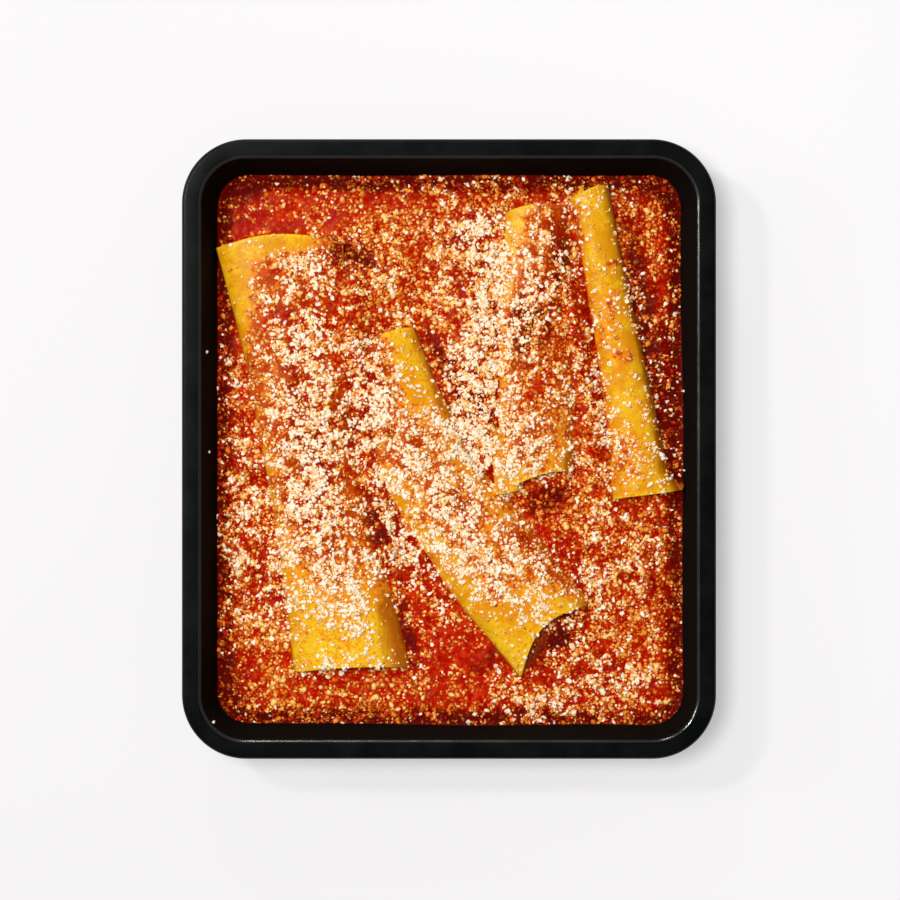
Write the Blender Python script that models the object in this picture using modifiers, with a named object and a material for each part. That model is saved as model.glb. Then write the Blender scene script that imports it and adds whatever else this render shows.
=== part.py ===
"""Cannelloni: four rolled and filled pasta tubes lying in tomato sauce, in their black baking tray.

The frame's origin is the middle of the tray's underside. +Z is up, +X runs across the tray and +Y
along it, towards the end where the rolls begin. All sizes are in metres.
"""
import math
from dataclasses import dataclass

import bmesh
import bpy
from mathutils import Vector

MM = 0.001

# The tray: pressed sheet steel with a flat rim and a lip turned down around it.
TRAY_WIDTH = 200 * MM
TRAY_LENGTH = 232 * MM
TRAY_HEIGHT = 40 * MM
TRAY_SHEET = 1.0 * MM
TRAY_CORNER_RADIUS = 24 * MM
RIM_WIDTH = 7.5 * MM
RIM_EDGE_RADIUS = 1.6 * MM
LIP_DROP = 2.0 * MM
WALL_SLOPE = math.radians(15)
FLOOR_FILLET = 5 * MM
CORNER_STEPS = 8
FILLET_STEPS = 3

# Every corner of the tray turns around the same four centres, so an outline is one spread from them.
CORE_HALF_WIDTH = TRAY_WIDTH / 2 - TRAY_CORNER_RADIUS
CORE_HALF_LENGTH = TRAY_LENGTH / 2 - TRAY_CORNER_RADIUS

# The food.
SAUCE_LEVEL = 26 * MM
SAUCE_WAVE = 0.5 * MM
SAUCE_CELL = 9 * MM
PASTA_SHEET = 1.3 * MM
ROLL_UNDERSIDE = 7 * MM
WIDEST_LEVEL = 25.5 * MM
SECTION_POWER = 2.4
FOOT_TAPER = 0.2
CLEARANCE = 0.3 * MM
END_CLEARANCE = 0.7 * MM
LAYER_GAP = 0.45 * MM
FILLING_GAP = 0.7 * MM
MOUTH_RECESS = 9 * MM
ARCH_CEILING = 29.5 * MM     # a section cut off below this level has no arch to its ends

# A roll's sheet goes once around in ROUND_STEPS, and laps over its own start for LAP_STEPS more.
ROUND_STEPS = 20
LAP_STEPS = 2
RISE_STEPS = 2
INNER_FADE_STEPS = 5
LENGTH_STEPS = 9
STEP_ANGLE = 2 * math.pi / ROUND_STEPS
HEADING_STEP = 0.02     # the share of a roll's length over which its heading is taken


@dataclass(frozen=True)
class Cut:
    """How far a roll's cut end runs past its last station, along the roll."""

    skew: float    # more at the right foot of its arch, less at the left
    crown: float   # more at the top of the arch than at its two feet
    inner: float   # more where the sheet starts, inside the lap

    def run(self, share, arch, start):
        """The whole run at a place across the arch, up it, and along the sheet."""
        return self.skew * share + self.crown * arch + self.inner * start


@dataclass(frozen=True)
class Roll:
    """A rolled pasta sheet that follows a soft line of stations from its far end to its near end."""

    name: str
    stations: tuple      # (x, y, half width, crown height) in millimetres, evenly spaced
    seam: float          # where the sheet's hidden edge lies around the far end, in degrees
    drift: float         # how far that edge wanders round by the near end, in degrees
    turn: int            # +1 laps over the top from right to left, -1 from left to right
    far_cut: Cut
    near_cut: Cut

    def at(self, u):
        """The centre line, half width and crown at u, from 0 at the far end to 1 at the near end."""
        return smooth_through(self.stations, u)

    def length(self):
        """The straight distance from end to end."""
        (x0, y0, *_), (x1, y1, *_) = self.stations[0], self.stations[-1]
        return math.hypot(x1 - x0, y1 - y0) * MM

    def point(self, u, angle, inset, reach=1, ceiling=TRAY_HEIGHT, overrun=0.0, start=0.0):
        """A point of the section at u: reach 1 is its outline less the inset, 0 its middle.

        The section's cut ends slide along the roll as the two cuts say, and by the overrun.
        start is how much the point belongs to the sheet's start.
        """
        height = rounded(math.sin(angle)) * reach
        share = rounded(math.cos(angle)) * reach
        arch = (1 - share * share) * max(height, 0.0) if ceiling > ARCH_CEILING else 0.0
        near = self.near_cut.run(share, arch, start) + overrun
        far = self.far_cut.run(share, arch, start) + overrun
        u += (u * u * near - (1 - u) ** 2 * far) / self.length()
        x, y, half_width, crown = (value * MM for value in self.at(u))
        half_height = crown - WIDEST_LEVEL if height > 0 else WIDEST_LEVEL - ROLL_UNDERSIDE
        taper = 1 - FOOT_TAPER * max(0.0, -height)
        rise = min(height * (half_height - inset), ceiling - WIDEST_LEVEL)
        return Vector((x, y, WIDEST_LEVEL + rise)) + self.across(u) * share * (half_width - inset) * taper

    def across(self, u):
        """The level direction across the roll at u, towards its right as it comes nearer."""
        before, after = self.at(u - HEADING_STEP), self.at(u + HEADING_STEP)
        return Vector((before[1] - after[1], after[0] - before[0], 0)).normalized()

    def angle_of(self, step, u):
        """The angle around the roll of a step along the sheet, counted from its hidden edge."""
        return math.radians(self.seam + self.drift * u) + self.turn * step * STEP_ANGLE


ROLLS = (
    Roll(
        name="left",
        stations=((-60.0, 76.0, 28.0, 33.0), (-56.8, 36.0, 21.0, 34.0), (-52.4, -3.5, 18.0, 34.5),
                  (-44.4, -43.0, 19.4, 34.0), (-37.2, -83.5, 22.2, 33.0)),
        seam=84, drift=-58, turn=-1,
        far_cut=Cut(skew=-2.6 * MM, crown=5.3 * MM, inner=-5 * MM),
        near_cut=Cut(skew=3 * MM, crown=-1 * MM, inner=0 * MM),
    ),
    Roll(
        name="centre",
        stations=((-22.8, 43.3, 11.2, 33.0), (-17.0, 14.5, 16.8, 34.0), (-6.2, -12.5, 17.6, 34.5),
                  (13.2, -38.5, 20.0, 34.5), (40.4, -72.5, 19.7, 34.0)),
        seam=68, drift=-40, turn=-1,
        far_cut=Cut(skew=1 * MM, crown=1 * MM, inner=-2 * MM),
        near_cut=Cut(skew=-2 * MM, crown=-5.5 * MM, inner=0 * MM),
    ),
    Roll(
        name="upper",
        stations=((32.6, 90.5, 11.5, 32.5), (33.2, 65.0, 13.2, 33.5), (33.0, 39.0, 14.8, 34.0),
                  (33.2, 13.0, 14.6, 34.0), (34.2, -13.0, 12.9, 33.5)),
        seam=46, drift=-20, turn=-1,
        far_cut=Cut(skew=1 * MM, crown=2 * MM, inner=0 * MM),
        near_cut=Cut(skew=-4 * MM, crown=-3 * MM, inner=2 * MM),
    ),
    Roll(
        name="right",
        stations=((53.2, 96.6, 7.8, 34.5), (58.4, 68.0, 8.3, 34.5), (63.9, 40.0, 8.8, 34.5),
                  (69.2, 11.5, 9.8, 34.5), (73.3, -17.5, 11.4, 34.0)),
        seam=108, drift=25, turn=1,
        far_cut=Cut(skew=1.5 * MM, crown=1.5 * MM, inner=2 * MM),
        near_cut=Cut(skew=0 * MM, crown=0 * MM, inner=0 * MM),
    ),
)


def rounded(value):
    """Squares up a circle's sine or cosine, which flattens the section's top and sides."""
    return math.copysign(abs(value) ** (2 / SECTION_POWER), value)


def smooth_through(stations, u):
    """A smooth curve (Catmull-Rom) through evenly spaced stations, running straight on past them."""
    first = [2 * a - b for a, b in zip(stations[0], stations[1])]
    last = [2 * a - b for a, b in zip(stations[-1], stations[-2])]
    spots = [first, *stations, last]
    index = min(max(int(u * (len(stations) - 1)), 0), len(stations) - 2)
    t = u * (len(stations) - 1) - index
    result = []
    for a, b, c, d in zip(*spots[index:index + 4]):
        bend = (2 * a - 5 * b + 4 * c - d) * t + (3 * b - 3 * c + d - a) * t * t
        result.append(b + 0.5 * t * (c - a + bend))
    return result


def clear_scene():
    """Empties the scene and its materials."""
    for thing in list(bpy.data.objects):
        bpy.data.objects.remove(thing, do_unlink=True)
    for group in list(bpy.data.collections):
        bpy.data.collections.remove(group)


def make_collection(name):
    """A new collection in the scene."""
    group = bpy.data.collections.new(name)
    bpy.context.scene.collection.children.link(group)
    return group


def make_material(name, colour, roughness, metallic=0.0):
    """A plain Principled finish."""
    material = bpy.data.materials.new(name)
    material.use_nodes = True
    shader = material.node_tree.nodes["Principled BSDF"]
    shader.inputs["Base Color"].default_value = (*colour, 1)
    shader.inputs["Roughness"].default_value = roughness
    shader.inputs["Metallic"].default_value = metallic
    return material


def add_object(name, bm, group, material=None):
    """Turns a bmesh into a smooth-shaded object of the collection."""
    mesh = bpy.data.meshes.new(name)
    bm.to_mesh(mesh)
    bm.free()
    mesh.shade_smooth()
    mesh.set_sharp_from_angle(angle=math.radians(40))
    if material:
        mesh.materials.append(material)
    thing = bpy.data.objects.new(name, mesh)
    group.objects.link(thing)
    return thing


def hide_cutter(thing):
    """Marks an object as a cutter, which is never part of the model."""
    thing.hide_render = True
    thing.display_type = "WIRE"
    return thing


def add_boolean(thing, cutter, operation):
    """Cuts or trims an object with a cutter."""
    modifier = thing.modifiers.new(f"{operation.lower()} {cutter.name}", "BOOLEAN")
    modifier.operation = operation
    modifier.solver = "EXACT"
    modifier.object = cutter


def add_thickness(thing, thickness):
    """Gives an open surface its thickness, behind its faces."""
    modifier = thing.modifiers.new("sheet thickness", "SOLIDIFY")
    modifier.thickness = thickness
    modifier.offset = -1
    modifier.use_even_offset = True


# --- the tray ---------------------------------------------------------------------------------

def arc(centre, radius, start, end, steps):
    """Points of an arc in the tray's upright section, as (spread, height)."""
    angles = [math.radians(start + (end - start) * k / steps) for k in range(steps + 1)]
    return [(centre[0] + radius * math.cos(a), centre[1] + radius * math.sin(a)) for a in angles]


def wall_profile():
    """The inside of the tray from the floor's edge to the top of the wall: fillet, then slope."""
    fillet_spread = FLOOR_FILLET * math.tan(math.pi / 4 - WALL_SLOPE / 2)
    wall_top = TRAY_HEIGHT - RIM_EDGE_RADIUS * (1 - math.sin(WALL_SLOPE))
    opening = TRAY_CORNER_RADIUS - RIM_WIDTH
    floor_spread = opening - (wall_top - TRAY_SHEET) * math.tan(WALL_SLOPE)
    centre = (floor_spread - fillet_spread, TRAY_SHEET + FLOOR_FILLET)
    slope_end = -math.degrees(WALL_SLOPE)
    return arc(centre, FLOOR_FILLET, -90, slope_end, FILLET_STEPS) + [(opening, wall_top)]


def rim_profile():
    """The rim from the top of the wall outwards: rolled inner edge, flat, outer edge and lip."""
    opening, wall_top = wall_profile()[-1]
    slope = math.degrees(WALL_SLOPE)
    inner_centre = (opening + RIM_EDGE_RADIUS * math.cos(WALL_SLOPE), TRAY_HEIGHT - RIM_EDGE_RADIUS)
    outer_centre = (TRAY_CORNER_RADIUS - RIM_EDGE_RADIUS, TRAY_HEIGHT - RIM_EDGE_RADIUS)
    inner = arc(inner_centre, RIM_EDGE_RADIUS, 180 - slope, 90, FILLET_STEPS)[1:]
    outer = arc(outer_centre, RIM_EDGE_RADIUS, 90, 0, FILLET_STEPS)
    return inner + outer + [(TRAY_CORNER_RADIUS, outer_centre[1] - LIP_DROP)]


def add_floor(bm, spread, height):
    """A flat floor with round corners."""
    bmesh.ops.create_grid(bm, x_segments=1, y_segments=1, size=1)
    for vert in bm.verts:
        vert.co.x *= CORE_HALF_WIDTH + spread
        vert.co.y *= CORE_HALF_LENGTH + spread
        vert.co.z = height
    bmesh.ops.bevel(bm, geom=bm.verts[:], offset=spread, offset_type="OFFSET", affect="VERTICES",
                    segments=CORNER_STEPS, profile=0.5, material=-1)


def away_from_core(place):
    """The level direction in which an outline spreads at a place."""
    core_x = min(max(place.x, -CORE_HALF_WIDTH), CORE_HALF_WIDTH)
    core_y = min(max(place.y, -CORE_HALF_LENGTH), CORE_HALF_LENGTH)
    return Vector((place.x - core_x, place.y - core_y, 0)).normalized()


def grow_wall(bm, profile):
    """Draws the open edge up through the profile, which starts at the edge's own spread."""
    for (spread, height), (next_spread, next_height) in zip(profile, profile[1:]):
        edges = [edge for edge in bm.edges if edge.is_boundary]
        drawn = bmesh.ops.extrude_edge_only(bm, edges=edges)["geom"]
        for vert in (item for item in drawn if isinstance(item, bmesh.types.BMVert)):
            vert.co += away_from_core(vert.co) * (next_spread - spread)
            vert.co.z += next_height - height


def make_tray(group, material):
    """The pressed tray: floor, sloping walls, flat rim and lip, of one thickness."""
    bm = bmesh.new()
    profile = wall_profile() + rim_profile()
    add_floor(bm, *profile[0])
    grow_wall(bm, profile)
    bmesh.ops.recalc_face_normals(bm, faces=bm.faces[:])
    if max(bm.faces, key=lambda face: face.calc_area()).normal.z < 0:
        bmesh.ops.reverse_faces(bm, faces=bm.faces[:])
    tray = add_object("tray", bm, group, material)
    add_thickness(tray, TRAY_SHEET)
    return tray


def make_tray_inside(group):
    """The space that the food may fill, a clearance inside the tray."""
    bm = bmesh.new()
    profile = [(spread - CLEARANCE, height + CLEARANCE) for spread, height in wall_profile()]
    add_floor(bm, *profile[0])
    grow_wall(bm, profile)
    bmesh.ops.holes_fill(bm, edges=[edge for edge in bm.edges if edge.is_boundary], sides=0)
    bmesh.ops.recalc_face_normals(bm, faces=bm.faces[:])
    return hide_cutter(add_object("tray inside", bm, group))


# --- the pasta rolls --------------------------------------------------------------------------

def lap_inset(step):
    """How far the sheet is pressed in at a step, to pass under its own outer edge."""
    rising = (LAP_STEPS + RISE_STEPS - step) / RISE_STEPS
    eased = min(max(rising, 0.0), 1.0)
    return (PASTA_SHEET + LAYER_GAP) * eased * eased * (3 - 2 * eased)


def start_share(step):
    """How much a step belongs to the sheet's start: all of it in the lap, less and less beyond."""
    return max(1 - max(step - LAP_STEPS, 0) / INNER_FADE_STEPS, 0)


def make_sheet(roll, group, material):
    """The rolled sheet: a flat grid wound once around and over its own start."""
    steps = ROUND_STEPS + LAP_STEPS
    bm = bmesh.new()
    bmesh.ops.create_grid(bm, x_segments=steps, y_segments=LENGTH_STEPS, size=0.5)
    for vert in bm.verts:
        step = round((vert.co.x + 0.5) * steps)
        u = vert.co.y + 0.5
        vert.co = roll.point(u, roll.angle_of(step, u), lap_inset(step), start=start_share(step))
    if roll.turn < 0:
        bmesh.ops.reverse_faces(bm, faces=bm.faces[:])
    sheet = add_object(f"pasta_{roll.name}", bm, group, material)
    add_thickness(sheet, PASTA_SHEET)
    return sheet


def add_plug(bm, roll, inset_at, ceiling_at, overrun):
    """A closed plug that fills the roll's section, less inset_at(step) and under ceiling_at(u).

    Its sides stand at the same steps around the roll as the sheet's, and its ends lie an overrun
    past the sheet's.
    """
    bmesh.ops.create_cone(bm, cap_ends=True, cap_tris=True, segments=ROUND_STEPS,
                          radius1=1, radius2=1, depth=1)
    uprights = [edge for edge in bm.edges if abs(edge.verts[0].co.z - edge.verts[1].co.z) > 0.5]
    bmesh.ops.subdivide_edges(bm, edges=uprights, cuts=LENGTH_STEPS - 1, use_grid_fill=True)
    for vert in bm.verts:
        u = round(vert.co.z + 0.5, 4)
        reach = round(vert.co.xy.length)
        step = roll.turn * round(math.atan2(vert.co.y, vert.co.x) / STEP_ANGLE) % ROUND_STEPS
        vert.co = roll.point(u, roll.angle_of(step, u), inset_at(step), reach, ceiling_at(u),
                             overrun, start_share(step) * reach)


def make_envelope(roll, group):
    """The space that a roll takes from the sauce, a clearance outside it all round."""
    bm = bmesh.new()
    add_plug(bm, roll, lambda step: -CLEARANCE, lambda u: TRAY_HEIGHT, END_CLEARANCE)
    return hide_cutter(add_object(f"envelope {roll.name}", bm, group))


def make_filling(roll, group, material):
    """The filling, which lies inside the roll and slopes down to the sauce at both mouths."""
    def ceiling_at(u):
        share = min(min(u, 1 - u) * roll.length() / MOUTH_RECESS, 1)
        return SAUCE_LEVEL + share * (TRAY_HEIGHT - SAUCE_LEVEL)

    def inset_at(step):
        return PASTA_SHEET + FILLING_GAP + lap_inset(step)

    bm = bmesh.new()
    add_plug(bm, roll, inset_at, ceiling_at, -CLEARANCE)
    return add_object(f"filling_{roll.name}", bm, group, material)


# --- the sauce --------------------------------------------------------------------------------

def sauce_height(x, y):
    """The uneven surface of the sauce."""
    wave = math.sin(x / (13 * MM) + 0.6) * math.cos(y / (17 * MM) - 0.4)
    ripple = 0.5 * math.sin(x / (7 * MM) - y / (9 * MM))
    return SAUCE_LEVEL + SAUCE_WAVE * (wave + ripple) / 1.5


def make_sauce(group, material, tray_inside, envelopes):
    """The sauce up to its level: a block with a wavy top, trimmed to the tray and around the rolls."""
    bm = bmesh.new()
    columns = round(TRAY_WIDTH / SAUCE_CELL)
    rows = round(TRAY_LENGTH / SAUCE_CELL)
    bmesh.ops.create_grid(bm, x_segments=columns, y_segments=rows, size=0.5)
    for vert in bm.verts:
        x, y = vert.co.x * TRAY_WIDTH, vert.co.y * TRAY_LENGTH
        vert.co = (x, y, sauce_height(x, y))
    rim = [edge for edge in bm.edges if edge.is_boundary]
    drawn = bmesh.ops.extrude_edge_only(bm, edges=rim)["geom"]
    for vert in (item for item in drawn if isinstance(item, bmesh.types.BMVert)):
        vert.co.z = 0
    bmesh.ops.holes_fill(bm, edges=[edge for edge in bm.edges if edge.is_boundary], sides=0)
    bmesh.ops.recalc_face_normals(bm, faces=bm.faces[:])
    sauce = add_object("sauce", bm, group, material)
    add_boolean(sauce, tray_inside, "INTERSECT")
    for envelope in envelopes:
        add_boolean(sauce, envelope, "DIFFERENCE")
    return sauce


def main():
    """Builds the dish."""
    clear_scene()
    dish = make_collection("cannelloni")
    cutters = make_collection("cutters")
    steel = make_material("black coated steel", (0.012, 0.013, 0.014), 0.45)
    pasta = make_material("egg pasta", (0.87, 0.48, 0.05), 0.4)
    tomato = make_material("tomato sauce", (0.55, 0.035, 0.006), 0.25)
    ragout = make_material("meat and tomato filling", (0.22, 0.03, 0.01), 0.5)
    make_tray(dish, steel)
    envelopes = []
    for roll in ROLLS:
        make_sheet(roll, dish, pasta)
        make_filling(roll, dish, ragout)
        envelopes.append(make_envelope(roll, cutters))
    make_sauce(dish, tomato, make_tray_inside(cutters), envelopes)


main()
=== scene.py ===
"""Looks of the cannelloni: four filled pasta rolls in tomato sauce, under grated cheese, in a black tray.

Sizes that a maker would choose are given in millimetres and turned into metres with MM. The frame
is the tray's own: its origin is the middle of the underside, +X runs across and +Y along it.
"""

import logging
import math
from dataclasses import dataclass, field
from enum import Enum
from typing import Iterable

import bmesh
import bpy
import numpy as np
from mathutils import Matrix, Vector, noise
from mathutils.bvhtree import BVHTree


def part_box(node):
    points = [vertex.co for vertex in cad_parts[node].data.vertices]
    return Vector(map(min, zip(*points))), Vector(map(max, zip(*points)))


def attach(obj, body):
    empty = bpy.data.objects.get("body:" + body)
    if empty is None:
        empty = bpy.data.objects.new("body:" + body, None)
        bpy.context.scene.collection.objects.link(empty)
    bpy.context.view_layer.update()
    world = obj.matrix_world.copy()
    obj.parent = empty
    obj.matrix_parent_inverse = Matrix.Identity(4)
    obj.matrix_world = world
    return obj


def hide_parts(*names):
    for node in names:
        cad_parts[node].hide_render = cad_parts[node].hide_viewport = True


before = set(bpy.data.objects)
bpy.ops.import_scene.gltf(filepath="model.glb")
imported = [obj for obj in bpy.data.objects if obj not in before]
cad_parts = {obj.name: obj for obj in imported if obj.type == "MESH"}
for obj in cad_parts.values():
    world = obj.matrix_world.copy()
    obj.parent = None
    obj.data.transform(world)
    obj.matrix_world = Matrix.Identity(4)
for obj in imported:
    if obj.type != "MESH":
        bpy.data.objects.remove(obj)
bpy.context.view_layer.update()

MM = 0.001
BODY = "root"
ABOVE_THE_DISH = 60 * MM
Colour = tuple[float, float, float]
Socket = bpy.types.NodeSocket
Material = bpy.types.Material
Object = bpy.types.Object
LOG = logging.getLogger("cannelloni")


# --- small helpers ------------------------------------------------------------------------------

def ease(value: float) -> float:
    """Smooth step from 0 to 1, flat beyond both."""
    clipped = min(max(value, 0.0), 1.0)
    return clipped * clipped * (3 - 2 * clipped)


def ripple(x: float, y: float, size: float, seed: float = 0.0) -> float:
    """Level noise from about -1 to 1, with lumps of a given size in metres."""
    return noise.noise(Vector((x / size, y / size, seed)))


def add_piece(name: str, bm: bmesh.types.BMesh, finish: Material, sharp: float = 40.0) -> Object:
    """Turns a bmesh into a finished piece of the dish.

    Args:
        name: The piece's name.
        bm: The shape, which is freed.
        finish: Its material.
        sharp: The angle in degrees past which an edge stays sharp.

    Returns:
        The new object, which rides on the dish.
    """
    mesh = bpy.data.meshes.new(name)
    bm.to_mesh(mesh)
    bm.free()
    mesh.shade_smooth()
    mesh.set_sharp_from_angle(angle=math.radians(sharp))
    return add_mesh(name, mesh, finish)


def add_mesh(name: str, mesh: bpy.types.Mesh, finish: Material) -> Object:
    """Links a mesh as a piece that rides on the dish, and reports it.

    Args:
        name: The piece's name.
        mesh: Its shape.
        finish: Its material.

    Returns:
        The new object.
    """
    mesh.materials.append(finish)
    piece = bpy.data.objects.new(name, mesh)
    bpy.context.scene.collection.objects.link(piece)
    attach(piece, BODY)
    LOG.info("%s: %d faces", name, len(mesh.polygons))
    return piece


def evaluated_tree(piece: Object) -> BVHTree:
    """A search tree of a piece as its modifiers leave it."""
    return BVHTree.FromObject(piece, bpy.context.evaluated_depsgraph_get())


def look_down(tree: BVHTree, x: float, y: float) -> tuple[Vector | None, Vector | None]:
    """The topmost point of a piece at a place, and its normal there."""
    return tree.ray_cast(Vector((x, y, ABOVE_THE_DISH)), Vector((0, 0, -1)))[:2]


def slide(vert: bmesh.types.BMVert, way: Vector, distance: float) -> None:
    """Moves a point along a level direction."""
    vert.co.x += way.x * distance
    vert.co.y += way.y * distance


def new_verts(drawn: list) -> list[bmesh.types.BMVert]:
    """The points among what an extrusion has drawn."""
    return [item for item in drawn if isinstance(item, bmesh.types.BMVert)]


# --- finishes -----------------------------------------------------------------------------------

class Graph:
    """A material's nodes, added one at a time around its Principled shader."""

    def __init__(self, name: str) -> None:
        """Starts an empty material with object coordinates.

        Args:
            name: The material's name.
        """
        self.material = bpy.data.materials.new(name)
        self.material.use_nodes = True
        self.tree = self.material.node_tree
        self.shader = self.tree.nodes["Principled BSDF"]
        self.places = self.tree.nodes.new("ShaderNodeTexCoord").outputs["Object"]

    def link(self, source: Socket | float, target: Socket) -> None:
        """Feeds a socket, or sets its value when the source is a plain number.

        Args:
            source: The socket or number that feeds it.
            target: The socket that is fed.
        """
        if isinstance(source, Socket):
            self.tree.links.new(source, target)
        else:
            target.default_value = source

    def settle(self, **values: float | tuple) -> None:
        """Sets the shader's own sockets, named with underscores for spaces."""
        for name, value in values.items():
            self.shader.inputs[name.replace("_", " ")].default_value = value

    def lumps(self, size: float, detail: float = 3.0, roughness: float = 0.5,
              stretch: tuple = (1, 1, 1)) -> Socket:
        """Adds cloudy noise.

        Args:
            size: The size of its lumps in metres.
            detail: How many finer layers it has.
            roughness: How strong the finer layers are.
            stretch: How far the lumps are drawn out along each axis.

        Returns:
            The noise, from 0 to 1.
        """
        source = self.places
        if stretch != (1, 1, 1):
            mapping = self.tree.nodes.new("ShaderNodeMapping")
            mapping.inputs["Scale"].default_value = [1 / part for part in stretch]
            self.link(source, mapping.inputs["Vector"])
            source = mapping.outputs["Vector"]
        node = self.tree.nodes.new("ShaderNodeTexNoise")
        self.link(source, node.inputs["Vector"])
        node.inputs["Scale"].default_value = 1 / size
        node.inputs["Detail"].default_value = detail
        node.inputs["Roughness"].default_value = roughness
        return node.outputs["Fac"]

    def pebbles(self, size: float, output: str = "Distance") -> Socket:
        """Adds cells like pebbles.

        Args:
            size: Their size in metres.
            output: Distance, to their middles, or Color, a random one for each.

        Returns:
            The socket of that output.
        """
        node = self.tree.nodes.new("ShaderNodeTexVoronoi")
        self.link(self.places, node.inputs["Vector"])
        node.inputs["Scale"].default_value = 1 / size
        return node.outputs[output]

    def along(self, axis: str) -> Socket:
        """Reads the place along an axis of the dish.

        Args:
            axis: X, Y or Z.

        Returns:
            The place in metres.
        """
        node = self.tree.nodes.new("ShaderNodeSeparateXYZ")
        self.link(self.places, node.inputs[0])
        return node.outputs[axis]

    def attribute(self, name: str) -> Socket:
        """Reads a number kept on the mesh's points.

        Args:
            name: What it is called.

        Returns:
            The number.
        """
        node = self.tree.nodes.new("ShaderNodeAttribute")
        node.attribute_name = name
        return node.outputs["Fac"]

    def span(self, source: Socket, low: float, high: float,
             to_low: float = 0.0, to_high: float = 1.0) -> Socket:
        """Maps a range smoothly on to another.

        Args:
            source: The number that is mapped.
            low: Where its range starts.
            high: Where its range ends.
            to_low: What the start becomes.
            to_high: What the end becomes.

        Returns:
            The mapped number.
        """
        node = self.tree.nodes.new("ShaderNodeMapRange")
        node.interpolation_type = "SMOOTHSTEP"
        self.link(source, node.inputs["Value"])
        for name, value in (("From Min", low), ("From Max", high), ("To Min", to_low), ("To Max", to_high)):
            node.inputs[name].default_value = value
        return node.outputs["Result"]

    def maths(self, operation: str, first: Socket | float, second: Socket | float) -> Socket:
        """Works out one sum; what is added or multiplied stays within 0 to 1.

        Args:
            operation: ADD, SUBTRACT or MULTIPLY.
            first: The first number.
            second: The second number.

        Returns:
            The result.
        """
        node = self.tree.nodes.new("ShaderNodeMath")
        node.operation = operation
        node.use_clamp = operation in ("ADD", "MULTIPLY")
        self.link(first, node.inputs[0])
        self.link(second, node.inputs[1])
        return node.outputs["Value"]

    def times(self, first: Socket | float, second: Socket | float) -> Socket:
        """Two numbers multiplied."""
        return self.maths("MULTIPLY", first, second)

    def plus(self, first: Socket | float, second: Socket | float) -> Socket:
        """Two numbers added, up to 1."""
        return self.maths("ADD", first, second)

    def blend(self, share: Socket | float, first: Socket | Colour,
              second: Socket | Colour) -> Socket:
        """Mixes two colours.

        Args:
            share: The share of the second, from 0 to 1.
            first: The first colour.
            second: The second colour.

        Returns:
            The mixed colour.
        """
        node = self.tree.nodes.new("ShaderNodeMix")
        node.data_type = "RGBA"
        self.link(share, node.inputs["Factor"])
        sockets = [s for s in node.inputs if s.type == "RGBA"]
        for socket, value in zip(sockets, (first, second)):
            self.link((*value, 1) if isinstance(value, tuple) else value, socket)
        return [s for s in node.outputs if s.type == "RGBA"][0]

    def bump(self, height: Socket, depth: float, strength: float = 1.0,
             under: Socket | None = None) -> Socket:
        """Adds relief.

        Args:
            height: The number that makes it, from 0 to 1.
            depth: Its depth in metres.
            strength: How fully it shows.
            under: Relief that it lies on.

        Returns:
            The normal.
        """
        node = self.tree.nodes.new("ShaderNodeBump")
        node.inputs["Distance"].default_value = depth
        node.inputs["Strength"].default_value = strength
        self.link(height, node.inputs["Height"])
        if under is not None:
            self.link(under, node.inputs["Normal"])
        return node.outputs["Normal"]

    def finish(self, colour: Socket, normal: Socket,
               roughness: Socket | float) -> Material:
        """Feeds the shader.

        Args:
            colour: The base colour.
            normal: The relief.
            roughness: How dull it is.

        Returns:
            The finished material.
        """
        self.link(colour, self.shader.inputs["Base Color"])
        self.link(normal, self.shader.inputs["Normal"])
        self.link(roughness, self.shader.inputs["Roughness"])
        return self.material


@dataclass(frozen=True)
class BakingCoat:
    """The tray's matte black coating, faintly mottled."""

    dark: Colour = (0.0024, 0.0034, 0.0033)
    pale: Colour = (0.0047, 0.0062, 0.0060)
    baked: Colour = (0.0020, 0.0014, 0.0010)
    steel: Colour = (0.24, 0.24, 0.235)
    gloss: float = 0.30
    cloud_size: float = 14 * MM
    grain_size: float = 0.5 * MM
    rim_level: float = 40 * MM
    # depths below the rim: where the walls' look fades in, and the worn edge fades in and out
    wall_band: tuple = (0.5 * MM, 1.2 * MM)
    worn_top: tuple = (0.05 * MM, 0.11 * MM)
    worn_bottom: tuple = (0.45 * MM, 0.32 * MM)

    def make(self) -> Material:
        """Mixes the coating: satin on the rim, worn thin at its inner edge, dull on the baked walls.

        Returns:
            The material.
        """
        graph = Graph("baking_coat")
        graph.settle(Specular_IOR_Level=self.gloss)
        clouds = graph.lumps(self.cloud_size, 4, 0.6)
        grain = graph.lumps(self.grain_size, 2)
        height = graph.along("Z")
        wall, below, above = (graph.span(height, self.rim_level - low, self.rim_level - high)
                              for low, high in (self.wall_band, self.worn_top, self.worn_bottom))
        worn = graph.times(graph.times(below, above), graph.attribute("inside"))
        colour = graph.blend(graph.span(clouds, 0.35, 0.7), self.dark, self.pale)
        colour = graph.blend(wall, colour, self.baked)
        colour = graph.blend(worn, colour, self.steel)
        graph.link(graph.times(worn, 0.95), graph.shader.inputs["Metallic"])
        satin = graph.span(clouds, 0.3, 0.7, 0.32, 0.40)
        satin = graph.maths("SUBTRACT", satin, graph.times(worn, 0.16))
        roughness = graph.plus(satin, graph.times(wall, 0.7))
        return graph.finish(colour, graph.bump(grain, 0.03 * MM, 0.3), roughness)


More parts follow.
